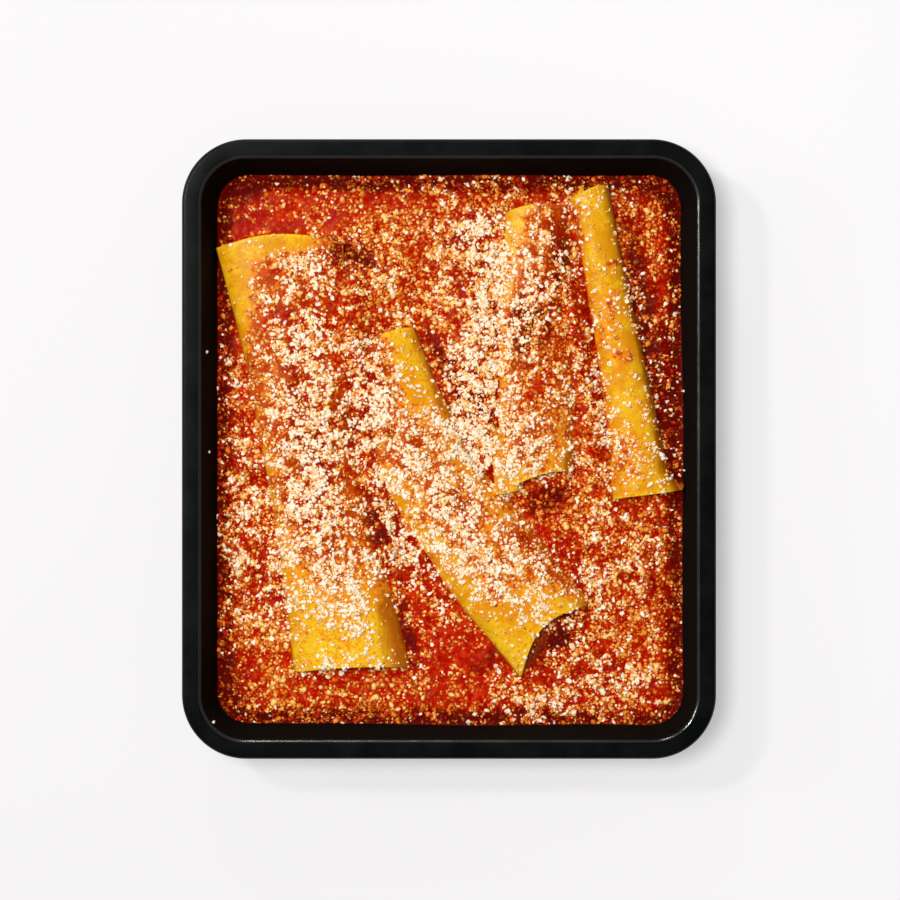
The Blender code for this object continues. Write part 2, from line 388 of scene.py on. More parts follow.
@dataclass(frozen=True)
class TomatoSauce:
    """Wet tomato sauce: deep red where it is clear, granular orange where cheese has melted in, painted
    maroon as painted shade by the walls and rolls.
    """

    deep_and_shaded_maroon: Colour = (0.080, 0.0004, 0.0001)
    red: Colour = (0.42, 0.002, 0.0002)
    bright: Colour = (0.64, 0.025, 0.001)
    orange: Colour = (0.86, 0.20, 0.006)
    yellow: Colour = (1.0, 0.50, 0.07)
    gloss: float = 0.28
    pulp_size: float = 3.2 * MM
    fine_size: float = 1.0 * MM
    granules: tuple = ((2.3 * MM, 0.6 * MM, orange), (1.0 * MM, 0.3 * MM, orange),
                       (1.4 * MM, 0.4 * MM, yellow))

    def make(self) -> Material:
        """Mixes the sauce, with granules of melted cheese on it.

        Returns:
            The material.
        """
        graph = Graph("tomato_sauce")
        graph.settle(Specular_IOR_Level=self.gloss)
        melted = graph.attribute("melted")
        thin = graph.attribute("thin")
        pulp = graph.lumps(self.pulp_size, 4, 0.6)
        fine = graph.lumps(self.fine_size, 3, 0.65)
        deep_and_shaded = graph.attribute("deep_and_shaded")
        colour = graph.blend(graph.span(pulp, 0.45, 0.68), self.red, self.bright)
        colour = graph.blend(graph.times(graph.span(fine, 0.45, 0.7), 0.6), colour, self.bright)
        colour = graph.blend(graph.times(thin, 0.4), colour, self.orange)
        # painted shade: maroon by the walls, beside the rolls and between the bits
        colour = graph.blend(graph.times(graph.span(deep_and_shaded, 0.0, 1.0), 0.9), colour, self.deep_and_shaded_maroon)
        normal = graph.bump(pulp, 1.0 * MM, 0.7)
        normal = graph.bump(fine, 0.5 * MM, 0.7, normal)
        plenty = graph.times(melted, graph.span(deep_and_shaded, 0.0, 1.0, 1.0, 0.45))
        for size, depth, shade in self.granules:
            lot = graph.times(graph.pebbles(size, "Color"), 0.6)
            lot = graph.plus(lot, graph.times(plenty, 0.5))
            granule = graph.times(graph.span(graph.pebbles(size), 0.5, 0.2), graph.span(lot, 0.42, 0.62))
            colour = graph.blend(graph.times(granule, 0.85), colour, shade)
            normal = graph.bump(granule, depth, 0.7, normal)
        dull = graph.span(deep_and_shaded, 0.65, 1.0, 0.0, 0.8)
        roughness = graph.plus(graph.span(pulp, 0.3, 0.7, 0.09, 0.18), dull)
        return graph.finish(colour, normal, roughness)


@dataclass(frozen=True)
class EggPasta:
    """Cooked egg pasta: golden, paler with painted highlight where it faces the key light, amber towards the
    sauce and as painted shade on its shaded side, stained where sauce lies thinly on it.
    """

    lemon: Colour = (0.93, 0.60, 0.016)
    pale: Colour = (0.82, 0.44, 0.008)
    golden: Colour = (0.70, 0.28, 0.002)
    amber: Colour = (0.44, 0.11, 0.001)
    oily: Colour = (0.80, 0.24, 0.004)
    stain: Colour = (0.50, 0.035, 0.001)
    cream: Colour = (0.95, 0.58, 0.16)
    gloss: float = 0.35
    cloud_size: float = 8 * MM
    fleck_size: float = 1.1 * MM
    streak_size: float = 5 * MM
    ragged_size: float = 2.2 * MM
    crumbs: tuple = ((1.9 * MM, stain), (1.2 * MM, stain), (1.5 * MM, cream))

    def make(self) -> Material:
        """Mixes the pasta, with its stains and the crumbs stuck to them.

        Returns:
            The material.
        """
        graph = Graph("egg_pasta")
        graph.settle(Specular_IOR_Level=self.gloss)
        clouds = graph.lumps(self.cloud_size, 4, 0.6)
        flecks = graph.lumps(self.fleck_size, 3, 0.65)
        streaks = graph.lumps(self.streak_size, 3, 0.6, (1, 4, 1))
        soaked_and_shaded = graph.attribute("soaked_and_shaded")
        film = graph.attribute("film")
        colour = graph.blend(graph.span(clouds, 0.42, 0.60), self.golden, self.pale)
        # painted highlight: lemon where the pasta is marked light, in part where it faces the key light
        light = graph.times(graph.attribute("light"), graph.span(flecks, 0.75, 0.35, 0.3, 1.0))
        colour = graph.blend(light, colour, self.lemon)
        darker = graph.times(graph.span(flecks, 0.52, 0.72), 0.6)
        colour = graph.blend(darker, colour, self.amber)
        # the amber is partly stain along the sauce, partly painted shade on the rolls' right sides
        wet_and_shaded = graph.plus(soaked_and_shaded, graph.times(graph.span(streaks, 0.58, 0.36), 0.22))
        colour = graph.blend(graph.span(wet_and_shaded, 0.12, 0.75), colour, self.amber)
        # film holds the sauce ladled on the pasta and painted shade, partly oil, between the bits
        broken = graph.plus(film, graph.span(graph.lumps(self.ragged_size, 4, 0.75), 0.3, 0.7, -0.32, 0.32))
        colour = graph.blend(graph.span(broken, 0.05, 0.65), colour, self.oily)
        colour = graph.blend(graph.span(broken, 0.66, 1.10), colour, self.stain)
        normal = graph.bump(clouds, 0.6 * MM, 0.4)
        normal = graph.bump(flecks, 0.16 * MM, 0.6, normal)
        for size, shade in self.crumbs:
            lot = graph.times(graph.pebbles(size, "Color"), film)
            middle = graph.span(graph.pebbles(size), 0.55, 0.25)
            crumb = graph.times(middle, graph.span(lot, 0.28, 0.5))
            colour = graph.blend(graph.times(crumb, 0.75), colour, shade)
            normal = graph.bump(crumb, 0.35 * MM, 0.7, normal)
        return graph.finish(colour, normal, graph.span(flecks, 0.3, 0.7, 0.24, 0.36))


@dataclass(frozen=True)
class MeatFilling:
    """Minced meat in tomato, seen only at the rolls' mouths."""

    dark: Colour = (0.16, 0.004, 0.001)
    light: Colour = (0.46, 0.07, 0.010)

    def make(self) -> Material:
        """Mixes the filling.

        Returns:
            The material.
        """
        graph = Graph("meat_filling")
        graph.settle(Specular_IOR_Level=0.3)
        mince = graph.pebbles(2.2 * MM)
        fine = graph.lumps(0.8 * MM, 4, 0.6)
        colour = graph.blend(graph.span(fine, 0.35, 0.7), self.dark, self.light)
        normal = graph.bump(mince, 1.0 * MM, 0.8)
        return graph.finish(colour, graph.bump(fine, 0.3 * MM, 0.6, normal), 0.35)


@dataclass(frozen=True)
class Cheese:
    """Grated cheese, whose tone runs from one colour to another by the grain, partly its own and partly
    painted shade.
    """

    name: str
    first: Colour
    middle: Colour
    last: Colour
    roughness: float
    gloss: float

    def make(self) -> Material:
        """Mixes the cheese.

        Returns:
            The material.
        """
        graph = Graph(self.name)
        graph.settle(Specular_IOR_Level=self.gloss)
        tone = graph.attribute("tone")
        fine = graph.lumps(0.5 * MM, 3, 0.6)
        colour = graph.blend(graph.span(tone, 0.0, 0.5), self.first, self.middle)
        colour = graph.blend(graph.span(tone, 0.5, 1.0), colour, self.last)
        return graph.finish(colour, graph.bump(fine, 0.2 * MM, 0.5), self.roughness)


DRY_CHEESE = Cheese("grated_cheese", (0.99, 0.91, 0.77), (1.0, 0.79, 0.50), (0.90, 0.42, 0.08), 0.6, 0.15)
SOAKED_CHEESE = Cheese("melted_cheese", (1.0, 0.66, 0.20), (0.86, 0.26, 0.02), (0.48, 0.015, 0.001),
                       0.3, 0.3)


# --- places on the food -------------------------------------------------------------------------

@dataclass(frozen=True)
class Patch:
    """A soft oval place on the food: middle and half axes in millimetres, turned anticlockwise."""

    x: float
    y: float
    half_x: float
    half_y: float
    turn: float = 0.0
    strength: float = 1.0

    def at(self, x: np.ndarray, y: np.ndarray) -> np.ndarray:
        """Works out its strength.

        Args:
            x: Places across the dish in metres.
            y: Places along it in metres.

        Returns:
            The strength at each place.
        """
        angle = math.radians(self.turn)
        dx, dy = x / MM - self.x, y / MM - self.y
        along = (dx * math.cos(angle) + dy * math.sin(angle)) / self.half_x
        across = (dy * math.cos(angle) - dx * math.sin(angle)) / self.half_y
        return self.strength * np.exp(-(along * along + across * across))


def patches(*rows: tuple[float, ...]) -> tuple[Patch, ...]:
    """Makes patches of rows, each with x, y, the two half axes, the turn and the strength."""
    return tuple(Patch(*row) for row in rows)


@dataclass(frozen=True)
class PatchMap:
    """Several patches over an even ground."""

    patches: tuple[Patch, ...]
    ground: float = 0.0
    bare: tuple[Patch, ...] = ()

    def at(self, x: np.ndarray, y: np.ndarray) -> np.ndarray:
        """Puts the patches together: each fills a share of what is left.

        Args:
            x: Places across the dish in metres.
            y: Places along it in metres.

        Returns:
            How fully each place is covered.
        """
        left = np.full(np.shape(x), 1 - self.ground)
        for patch in self.patches:
            left = left * (1 - patch.at(x, y))
        covered = 1 - left
        for patch in self.bare:
            covered = covered * (1 - patch.at(x, y))
        return covered


def gathering(x: float, y: float, strength: float) -> float:
    """How closely bits lie together at a place: 0 in the clear gaps, 1 in the clumps."""
    field = ripple(x, y, 3.6 * MM, 60) + 0.8 * ripple(x, y, 7.5 * MM, 61) + 0.5 * ripple(x, y, 15 * MM, 62)
    return ease(0.5 + strength * field)


# Sauce ladled over the pasta: how thickly it covers the rolls.
LADLED = PatchMap(patches(
    # the left roll's broad middle, from its far end to its near one
    (-52, 40, 16, 28, 0, 1.0), (-46, 62, 10, 10, -30, 0.9), (-61, 68, 10, 7, 0, 0.85),
    (-66, 52, 8, 14, 8, 0.7), (-52, 5, 16, 30, 4, 1.0), (-48, -24, 14, 19, 10, 0.88),
    (-41, -48, 10, 9, 10, 0.30),
    # an oily streak down its left edge, the hollow of its lap, and its far right side
    (-73, 32, 6, 26, 8, 0.44), (-38, 72, 8, 6, 0, 1.0), (-40, 58, 7, 22, 8, 0.9),
    # the centre roll's far half, and thinner towards its near end
    (-28, 28, 8, 16, 20, 0.95), (-14, 2, 11, 16, 20, 0.7), (2, -24, 12, 16, 35, 0.65),
    (20, -46, 12, 12, 40, 0.5),
    # the centre roll's right side
    (32, -38, 22, 6, -45, 0.8),
    # the upper roll, nearly all of it
    (36, 54, 12, 24, 0, 1.0), (34, 28, 13, 24, 0, 0.9), (30, 2, 10, 10, 0, 0.5), (45, 78, 5, 16, 0, 0.9),
    # between the upper and the right roll
    (49, 24, 5, 34, 8, 0.9),
    # the left roll's right side
    (-33, -4, 5, 34, 6, 0.9), (-26, -40, 4, 12, 14, 0.8),
    # stains on the right roll
    (62, 70, 5, 1.8, 15, 0.62), (60, 54, 5, 8, 0, 0.36), (66, 34, 5, 6, 0, 0.36),
    (62, 50, 9, 50, 10, 0.10), (66, -4, 6, 12, 10, 0.36),
    # the right roll's left side, the upper roll's far end, and a spot on the left roll
    (57, 20, 3, 30, 10, 0.45), (38, 85, 8, 9, 0, 0.9), (-76, 51, 2, 1.5, 0, 0.8),
), bare=patches(
    # the centre roll's right shoulder, and the far corners of the left and the upper roll
    (-9.5, 31, 19, 3.9, -61, 0.95), (-70, 79, 16, 6, 0, 0.9), (-80, 62, 6, 16, 8, 0.9),
    (24, 87, 6, 8, 0, 0.8),
))

# Where the pasta is painted paler: pale bare pasta, and painted highlight where it faces the key light.
PALEST_AND_LIT = PatchMap(patches(
    (-73, 66, 7, 14, 8, 0.25), (-40, -74, 20, 14, 0, 0.9), (20, -80, 20, 8, -52, 0.9),
    (-12, 32, 16, 3, -61, 0.6), (26, 84, 6, 8, 0, 0.5), (52, 92, 5, 8, 0, 0.5), (60, 44, 3, 40, 10, 0.4),
))


def ladled(x: float, y: float) -> float:
    """How far a place on a roll is past the ragged edge of the sauce ladled on it."""
    ragged = 0.26 * ripple(x, y, 11 * MM, 21) + 0.22 * ripple(x, y, 4 * MM, 22)
    return float(LADLED.at(x, y)) + ragged + 0.16 * ripple(x, y, 1.7 * MM, 23) - 0.42


# --- the tray -----------------------------------------------------------------------------------

@dataclass
class Tray:
    """The pressed steel tray: floor, sloping walls, flat rim and a lip turned down around it."""

    sheet: float = 1.0 * MM
    corner_radius: float = 24 * MM
    rim_width: float = 7.5 * MM
    rim_edge_radius: float = 1.6 * MM
    lip_drop: float = 2.0 * MM
    wall_slope: float = math.radians(15)
    floor_fillet: float = 5 * MM
    clearance: float = 0.05 * MM
    corner_steps: int = 28
    fillet_steps: int = 8
    core: Vector = field(init=False)
    height: float = field(init=False)

    def __post_init__(self) -> None:
        """Reads the tray's size from the frame."""
        _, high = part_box("tray")
        self.height = high.z
        self.core = Vector((high.x - self.corner_radius, high.y - self.corner_radius))

    def arc(self, centre: tuple, radius: float, start: float, end: float) -> list[tuple]:
        """Draws an arc in the upright section.

        Args:
            centre: Its middle, as (spread, height).
            radius: Its radius.
            start: Where it starts, in degrees.
            end: Where it ends, in degrees.

        Returns:
            Its points, as (spread, height).
        """
        steps = self.fillet_steps
        angles = [math.radians(start + (end - start) * k / steps) for k in range(steps + 1)]
        return [(centre[0] + radius * math.cos(a), centre[1] + radius * math.sin(a)) for a in angles]

    def opening(self) -> tuple[float, float]:
        """Where the wall meets the rim, as (spread, height)."""
        drop = self.rim_edge_radius * (1 - math.sin(self.wall_slope))
        return self.corner_radius - self.rim_width, self.height - drop

    def wall_spread(self, height: float | np.ndarray) -> float | np.ndarray:
        """How far the inside of the wall stands out from the core at a height."""
        spread, top = self.opening()
        return spread - (top - height) * math.tan(self.wall_slope)

    def hold_in(self, points: np.ndarray) -> None:
        """Presses points that pass through the wall back against its inside.

        Args:
            points: The points, which are moved in place.
        """
        core = np.array(self.core)
        away = points[:, :2] - np.clip(points[:, :2], -core, core)
        spread = np.maximum(np.linalg.norm(away, axis=1), 1e-9)
        past = np.maximum(spread - self.wall_spread(points[:, 2]) + self.clearance, 0)
        points[:, :2] -= away * (past / spread)[:, None]

    def profile(self) -> list[tuple]:
        """Draws the whole section from the floor's edge to the lip's.

        Returns:
            Its points, as (spread, height).
        """
        slope = math.degrees(self.wall_slope)
        fillet_spread = self.floor_fillet * math.tan(math.pi / 4 - self.wall_slope / 2)
        low = (self.wall_spread(self.sheet) - fillet_spread, self.sheet + self.floor_fillet)
        spread, _ = self.opening()
        bend_height = self.height - self.rim_edge_radius
        inner = (spread + self.rim_edge_radius * math.cos(self.wall_slope), bend_height)
        outer = (self.corner_radius - self.rim_edge_radius, bend_height)
        points = self.arc(low, self.floor_fillet, -90, -slope) + [self.opening()]
        points += self.arc(inner, self.rim_edge_radius, 180 - slope, 90)[1:]
        points += self.arc(outer, self.rim_edge_radius, 90, 0)
        return points + [(self.corner_radius, bend_height - self.lip_drop)]

    def outward(self, x: float, y: float) -> tuple[Vector, float]:
        """The level direction away from the core at a place, and how far out it lies."""
        way = Vector([place - min(max(place, -half), half) for place, half in zip((x, y), self.core)])
        return (way.normalized(), way.length) if way.length > 1e-9 else (Vector((0, 0)), 0.0)

    def build(self, finish: Material) -> Object:
        """Presses the tray from its floor outwards.

        Args:
            finish: Its coating.

        Returns:
            The tray.
        """
        profile = self.profile()
        bm = bmesh.new()
        bmesh.ops.create_grid(bm, x_segments=1, y_segments=1, size=1)
        for vert in bm.verts:
            vert.co.x *= self.core.x + profile[0][0]
            vert.co.y *= self.core.y + profile[0][0]
            vert.co.z = profile[0][1]
        bmesh.ops.bevel(bm, geom=bm.verts[:], offset=profile[0][0], offset_type="OFFSET", affect="VERTICES",
                        segments=self.corner_steps, profile=0.5, material=-1)
        for (spread, height), (next_spread, next_height) in zip(profile, profile[1:]):
            edges = [edge for edge in bm.edges if edge.is_boundary]
            drawn = bmesh.ops.extrude_edge_only(bm, edges=edges)["geom"]
            for vert in new_verts(drawn):
                way, _ = self.outward(vert.co.x, vert.co.y)
                vert.co += way.to_3d() * (next_spread - spread)
                vert.co.z += next_height - height
        bmesh.ops.recalc_face_normals(bm, faces=bm.faces[:])
        if max(bm.faces, key=lambda face: face.calc_area()).normal.z < 0:
            bmesh.ops.reverse_faces(bm, faces=bm.faces[:])
        inside = bm.verts.layers.float.new("inside")
        for vert in bm.verts:
            _, spread = self.outward(vert.co.x, vert.co.y)
            vert[inside] = float(spread < self.corner_radius - self.rim_width / 2)
        piece = add_piece("baking_tray", bm, finish)
        thickness = piece.modifiers.new("sheet thickness", "SOLIDIFY")
        thickness.thickness = self.sheet
        thickness.offset = -1
        thickness.use_even_offset = True
        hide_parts("tray")
        return piece


# --- the pasta rolls ----------------------------------------------------------------------------

PASTA_SHEET = 1.3 * MM
ROLL_UNDERSIDE = 7 * MM
WIDEST_LEVEL = 25.5 * MM
SECTION_POWER = 2.4
FOOT_TAPER = 0.2
LAYER_GAP = 0.45 * MM
LAP_LIFT = 0.35 * MM
SAUCE_LEVEL = 26 * MM
ROUND_STEPS = 20
LAP_STEPS = 2
RISE_STEPS = 2
INNER_FADE_STEPS = 5
STEP_ANGLE = 2 * math.pi / ROUND_STEPS
AMBER_RIM = 1.6 * MM           # how far the pasta is amber above the sauce, all round it
# painted shade: the next two paint the pasta amber higher up its right side, which lies in shade, more so by
# the near end
AMBER_RIGHT = 8.6 * MM         # further on its right side, which lies in the shade
AMBER_RIGHT_NEAR = 3.4 * MM    # and further still by the near end
AMBER_LEFT_NEAR = 2.0 * MM     # on its left side, by the near end
PALE_TRIM = 2.4 * MM           # how far in from a cut end the pasta is pale
DENT_DEPTH = 0.35 * MM
DENT_SIZE = 17 * MM
CREASE_DEPTH = 0.14 * MM
CREASE_SIZE = 4 * MM
KNIFE_WANDER = 0.55 * MM
SOFT_EDGE = 0.35 * MM


@dataclass(frozen=True)
class Cut:
    """How far a roll's cut end runs past its last station, along the roll, in millimetres."""

    skew: float    # more at the right foot of its arch, less at the left
    crown: float   # more at the top of the arch than at its two feet
    inner: float   # more where the sheet starts, inside the lap

    def run(self, share: float, arch: float, start: float) -> float:
        """The whole run at a place across the arch, up it, and along the sheet."""
        return (self.skew * share + self.crown * arch + self.inner * start) * MM


@dataclass(frozen=True)
class Splay:
    """How one side of a roll spreads outwards and lifts at its near end."""

    side: int        # +1 the right side, -1 the left
    begin: float     # the share of the roll's length at which it starts
    out: float       # how far it spreads at the end, in millimetres
    rest: float      # the height on which its foot rests there, in millimetres

    def amount(self, u: float, share: float) -> float:
        """How far the spread has come at a place along and across the roll."""
        return ease((u - self.begin) / (1 - self.begin)) ** 1.5 * max(0.0, self.side * share)


@dataclass(frozen=True)
class PastaRoll:
    """A rolled pasta sheet that follows a soft line of stations from its far end to its near end."""

    name: str
    stations: tuple      # (x, y, half width, crown height) in millimetres, evenly spaced
    seam: float          # where the sheet's hidden edge lies around the far end, in degrees
    drift: float         # how far that edge wanders round by the near end, in degrees
    turn: int            # +1 laps over the top from right to left, -1 from left to right
    far_cut: Cut
    near_cut: Cut
    splay: Splay = Splay(1, 0.5, 0.0, 0.0)
    across_steps: int = 6
    along_steps: int = 100

    def at(self, u: float) -> list[float]:
        """Follows a Catmull-Rom curve through the stations, which runs straight on past both ends.

        Args:
            u: The place along the roll, from 0 at its far end to 1 at its near end.

        Returns:
            The centre line, half width and crown height, in metres.
        """
        first = [2 * a - b for a, b in zip(self.stations[0], self.stations[1])]
        last = [2 * a - b for a, b in zip(self.stations[-1], self.stations[-2])]
        spots = [first, *self.stations, last]
        place = u * (len(self.stations) - 1)
        index = min(max(int(place), 0), len(self.stations) - 2)
        t = place - index
        result = []
        for a, b, c, d in zip(*spots[index:index + 4]):
            bend = (2 * a - 5 * b + 4 * c - d) * t + (3 * b - 3 * c + d - a) * t * t
            result.append((b + 0.5 * t * (c - a + bend)) * MM)
        return result

    def length(self) -> float:
        """The straight distance from end to end."""
        (x0, y0, *_), (x1, y1, *_) = self.stations[0], self.stations[-1]
        return math.hypot(x1 - x0, y1 - y0) * MM

    def across(self, u: float) -> Vector:
        """The level direction across the roll at u."""
        before, after = self.at(u - 0.02), self.at(u + 0.02)
        return Vector((before[1] - after[1], after[0] - before[0], 0)).normalized()

    def point(self, u: float, angle: float, inset: float, reach: float = 1.0, ceiling: float = 1.0,
              overrun: float = 0.0, start: float = 0.0) -> Vector:
        """Finds a point of the roll.

        Args:
            u: The place along it.
            angle: The angle around it.
            inset: How far in from its outline.
            reach: 1 on the outline less the inset, 0 in the middle.
            ceiling: The height that the point stays under.
            overrun: How far past the last stations the ends run.
            start: How much it belongs to the sheet's start.

        Returns:
            The point.
        """
        height, share = (math.copysign(abs(value) ** (2 / SECTION_POWER), value) * reach
                         for value in (math.sin(angle), math.cos(angle)))
        arch = (1 - share * share) * max(height, 0.0) if ceiling > WIDEST_LEVEL + 4 * MM else 0.0
        near = self.near_cut.run(share, arch, start) + overrun
        far = self.far_cut.run(share, arch, start) + overrun
        u += (u * u * near - (1 - u) ** 2 * far) / self.length()
        x, y, half_width, crown = self.at(u)
        half_height = crown - WIDEST_LEVEL if height > 0 else WIDEST_LEVEL - ROLL_UNDERSIDE
        taper = 1 - FOOT_TAPER * max(0.0, -height)
        rise = min(height * (half_height - inset), ceiling - WIDEST_LEVEL)
        spread = self.splay.amount(u, share)
        lifted = (self.splay.rest * MM - inset) * min(spread * 1.6, 1.0)
        level = Vector((x, y, max(WIDEST_LEVEL + rise, lifted)))
        away = share * (half_width - inset) * taper + self.splay.side * self.splay.out * MM * spread
        return level + self.across(u) * away

    def angle_of(self, step: float, u: float) -> float:
        """The angle around the roll of a step along the sheet, counted from its hidden edge."""
        return math.radians(self.seam + self.drift * u) + self.turn * step * STEP_ANGLE

    def lap_inset(self, step: float) -> float:
        """How far the sheet is pressed in at a step, to pass under its own outer edge."""
        return (PASTA_SHEET + LAYER_GAP) * ease((LAP_STEPS + RISE_STEPS - step) / RISE_STEPS)

    def start_share(self, step: float) -> float:
        """How much a step belongs to the sheet's start."""
        return max(1 - max(step - LAP_STEPS, 0) / INNER_FADE_STEPS, 0)

    def softness(self, u: float, angle: float) -> float:
        """Dents and creases the cooked sheet, less so at its ends.

        Args:
            u: The place along the roll.
            angle: The angle around it.

        Returns:
            The inset.
        """
        x, y, *_ = self.at(u)
        dents = DENT_DEPTH * max(0.0, ripple(x + 3 * math.cos(angle) * MM, y, DENT_SIZE, angle * 0.8))
        creases = CREASE_DEPTH * (1 + ripple(x * 2, y * 0.6, CREASE_SIZE, 3 + angle * 2))
        return (dents + creases) * min(1.0, 0.3 + 4 * min(u, 1 - u))

    def cut_wave(self, angle: float, end: float) -> float:
        """How the knife wandered at an end, as a share of the roll's length."""
        return KNIFE_WANDER * ripple(angle * 0.9, end * 7 + self.seam, 1.0) / self.length()

    def build(self, finish: Material) -> Object:
        """Winds a fine grid once around and over its own start.

        Args:
            finish: The pasta's material.

        Returns:
            The roll.
        """
        steps = ROUND_STEPS + LAP_STEPS
        bm = bmesh.new()
        soaked_and_shaded = bm.verts.layers.float.new("soaked_and_shaded")
        film = bm.verts.layers.float.new("film")
        light = bm.verts.layers.float.new("light")
        bmesh.ops.create_grid(bm, x_segments=steps * self.across_steps, y_segments=self.along_steps,
                              size=0.5)
        for vert in bm.verts:
            step = (vert.co.x + 0.5) * steps
            u = vert.co.y + 0.5
            angle = self.angle_of(step, u)
            wave = u * self.cut_wave(angle, 1) - (1 - u) * self.cut_wave(angle, 0)
            lift = LAP_LIFT * ease(step - steps + 1) * (1 + ripple(u * 9, self.seam, 1.0))
            inset = self.lap_inset(step) + self.softness(u, angle) - lift
            vert.co = self.point(u + wave, angle, inset, start=self.start_share(step))
            # painted shade: amber reaches higher up the right side, which lies in shade, besides the stain
            # along the sauce
            right, left = max(math.cos(angle), 0.0), max(-math.cos(angle), 0.0)
            shaded = AMBER_RIM + (AMBER_RIGHT + AMBER_RIGHT_NEAR * u) * right + AMBER_LEFT_NEAR * u * left
            vert[soaked_and_shaded] = 1 - ease((vert.co.z - SAUCE_LEVEL - 0.3 * MM) / shaded)
            x, y = vert.co.x, vert.co.y
            # painted shade, partly oil: the pasta is stained darker in the gaps between the bits where
            # cheese lies thick
            between = 0.55 * float(DRIFTS.at(x, y)) * (1 - gathering(x, y, 1.3))
            vert[film] = min(ease((ladled(x, y) + 0.34) / 0.5) + between, 1.0)
            trim = 0.9 * (1 - ease(min(u, 1 - u) * self.length() / PALE_TRIM))
            # painted highlight on the lit places, and pale cut ends
            vert[light] = max(float(PALEST_AND_LIT.at(x, y)), trim)
        if self.turn < 0:
            bmesh.ops.reverse_faces(bm, faces=bm.faces[:])
        piece = add_piece(f"rolled_pasta_{self.name}", bm, finish)
        thickness = piece.modifiers.new("sheet thickness", "SOLIDIFY")
        thickness.thickness = PASTA_SHEET
        thickness.offset = -1
        thickness.use_even_offset = False
        edges = piece.modifiers.new("soft cut edges", "BEVEL")
        edges.width = SOFT_EDGE
        edges.segments = 2
        edges.limit_method = "ANGLE"
        edges.angle_limit = math.radians(60)
        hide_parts(f"pasta_{self.name}")
        return piece


@dataclass(frozen=True)
class Filling:
    """The minced filling of one roll, which slopes down to the sauce at both mouths."""

    roll: PastaRoll
    gap: float = 0.35 * MM
    end_gap: float = 0.3 * MM
    mouth_recess: float = 9 * MM
    mouth_rise: float = 14 * MM
    lump_height: float = 1.2 * MM
    lump_sizes: tuple = ((0.5, 2.5 * MM), (0.25, 1.2 * MM))    # the share and the size of each layer
    around_steps: int = 60
    along_steps: int = 60

    def build(self, finish: Material) -> Object:
        """Packs a lumpy plug into the roll.

        Args:
            finish: The filling's material.

        Returns:
            The plug.
        """
        roll = self.roll
        bm = bmesh.new()
        bmesh.ops.create_cone(bm, cap_ends=True, cap_tris=True, segments=self.around_steps,
                              radius1=1, radius2=1, depth=1)
        uprights = [edge for edge in bm.edges if abs(edge.verts[0].co.z - edge.verts[1].co.z) > 0.5]
        bmesh.ops.subdivide_edges(bm, edges=uprights, cuts=self.along_steps - 1, use_grid_fill=True)
        spokes = [edge for edge in bm.edges
                  if abs(edge.verts[0].co.xy.length - edge.verts[1].co.xy.length) > 0.5]
        bmesh.ops.subdivide_edges(bm, edges=spokes, cuts=7, use_grid_fill=True)
        for vert in bm.verts:
            u = vert.co.z + 0.5
            reach = min(vert.co.xy.length, 1.0)
            turned = roll.turn * math.atan2(vert.co.y, vert.co.x) % (2 * math.pi)
            step = turned / STEP_ANGLE
            share = min(min(u, 1 - u) * roll.length() / self.mouth_recess, 1)
            ceiling = SAUCE_LEVEL + share * self.mouth_rise
            inset = PASTA_SHEET + self.gap + roll.lap_inset(step)
            place = roll.point(u, roll.angle_of(step, u), inset, reach, ceiling, -self.end_gap,
                               roll.start_share(step) * reach)
            lump = sum(part * noise.noise(place / size) for part, size in self.lump_sizes)
            place.z += lump * self.lump_height * (1 - 0.8 * reach ** 4)
            vert.co = place
        piece = add_piece(f"filling_{roll.name}_mince", bm, finish)
        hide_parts(f"filling_{roll.name}")
        return piece


ROLLS = (
    PastaRoll(
        name="left",
        stations=((-60.0, 76.0, 28.0, 33.0), (-56.8, 36.0, 21.0, 34.0), (-52.4, -3.5, 18.0, 34.5),
                  (-44.4, -43.0, 19.4, 34.0), (-37.2, -83.5, 22.2, 33.0)),
        seam=84, drift=-58, turn=-1, far_cut=Cut(-2.6, 5.3, -5), near_cut=Cut(3, -1, 0),
    ),
    PastaRoll(
        name="centre",
        stations=((-22.8, 43.3, 11.2, 33.0), (-17.0, 14.5, 16.8, 34.0), (-6.2, -12.5, 17.6, 34.5),
                  (13.2, -38.5, 20.0, 34.5), (40.4, -72.5, 19.7, 34.0)),
        seam=68, drift=-40, turn=-1, far_cut=Cut(1, 1, -2), near_cut=Cut(-2, -5.5, 0),
    ),
    PastaRoll(
        name="upper",
        stations=((32.6, 90.5, 11.5, 32.5), (33.2, 65.0, 13.2, 33.5), (33.0, 39.0, 14.8, 34.0),
                  (33.2, 13.0, 14.6, 34.0), (34.2, -13.0, 12.9, 33.5)),
        seam=46, drift=-20, turn=-1, far_cut=Cut(1, 2, 0), near_cut=Cut(-4, -3, 2),
        splay=Splay(-1, 0.45, 4.2, 31.2),
    ),
    PastaRoll(
        name="right",
        stations=((53.2, 96.6, 7.8, 34.5), (58.4, 68.0, 8.3, 34.5), (63.9, 40.0, 8.8, 34.5),
                  (69.2, 11.5, 9.8, 34.5), (73.3, -17.5, 11.4, 34.0)),
        seam=108, drift=25, turn=1, far_cut=Cut(1.5, 1.5, 2), near_cut=Cut(0, 0, 0),
        splay=Splay(1, 0.90, 3.6, 28.0),
    ),
)


# --- the sauce ----------------------------------------------------------------------------------

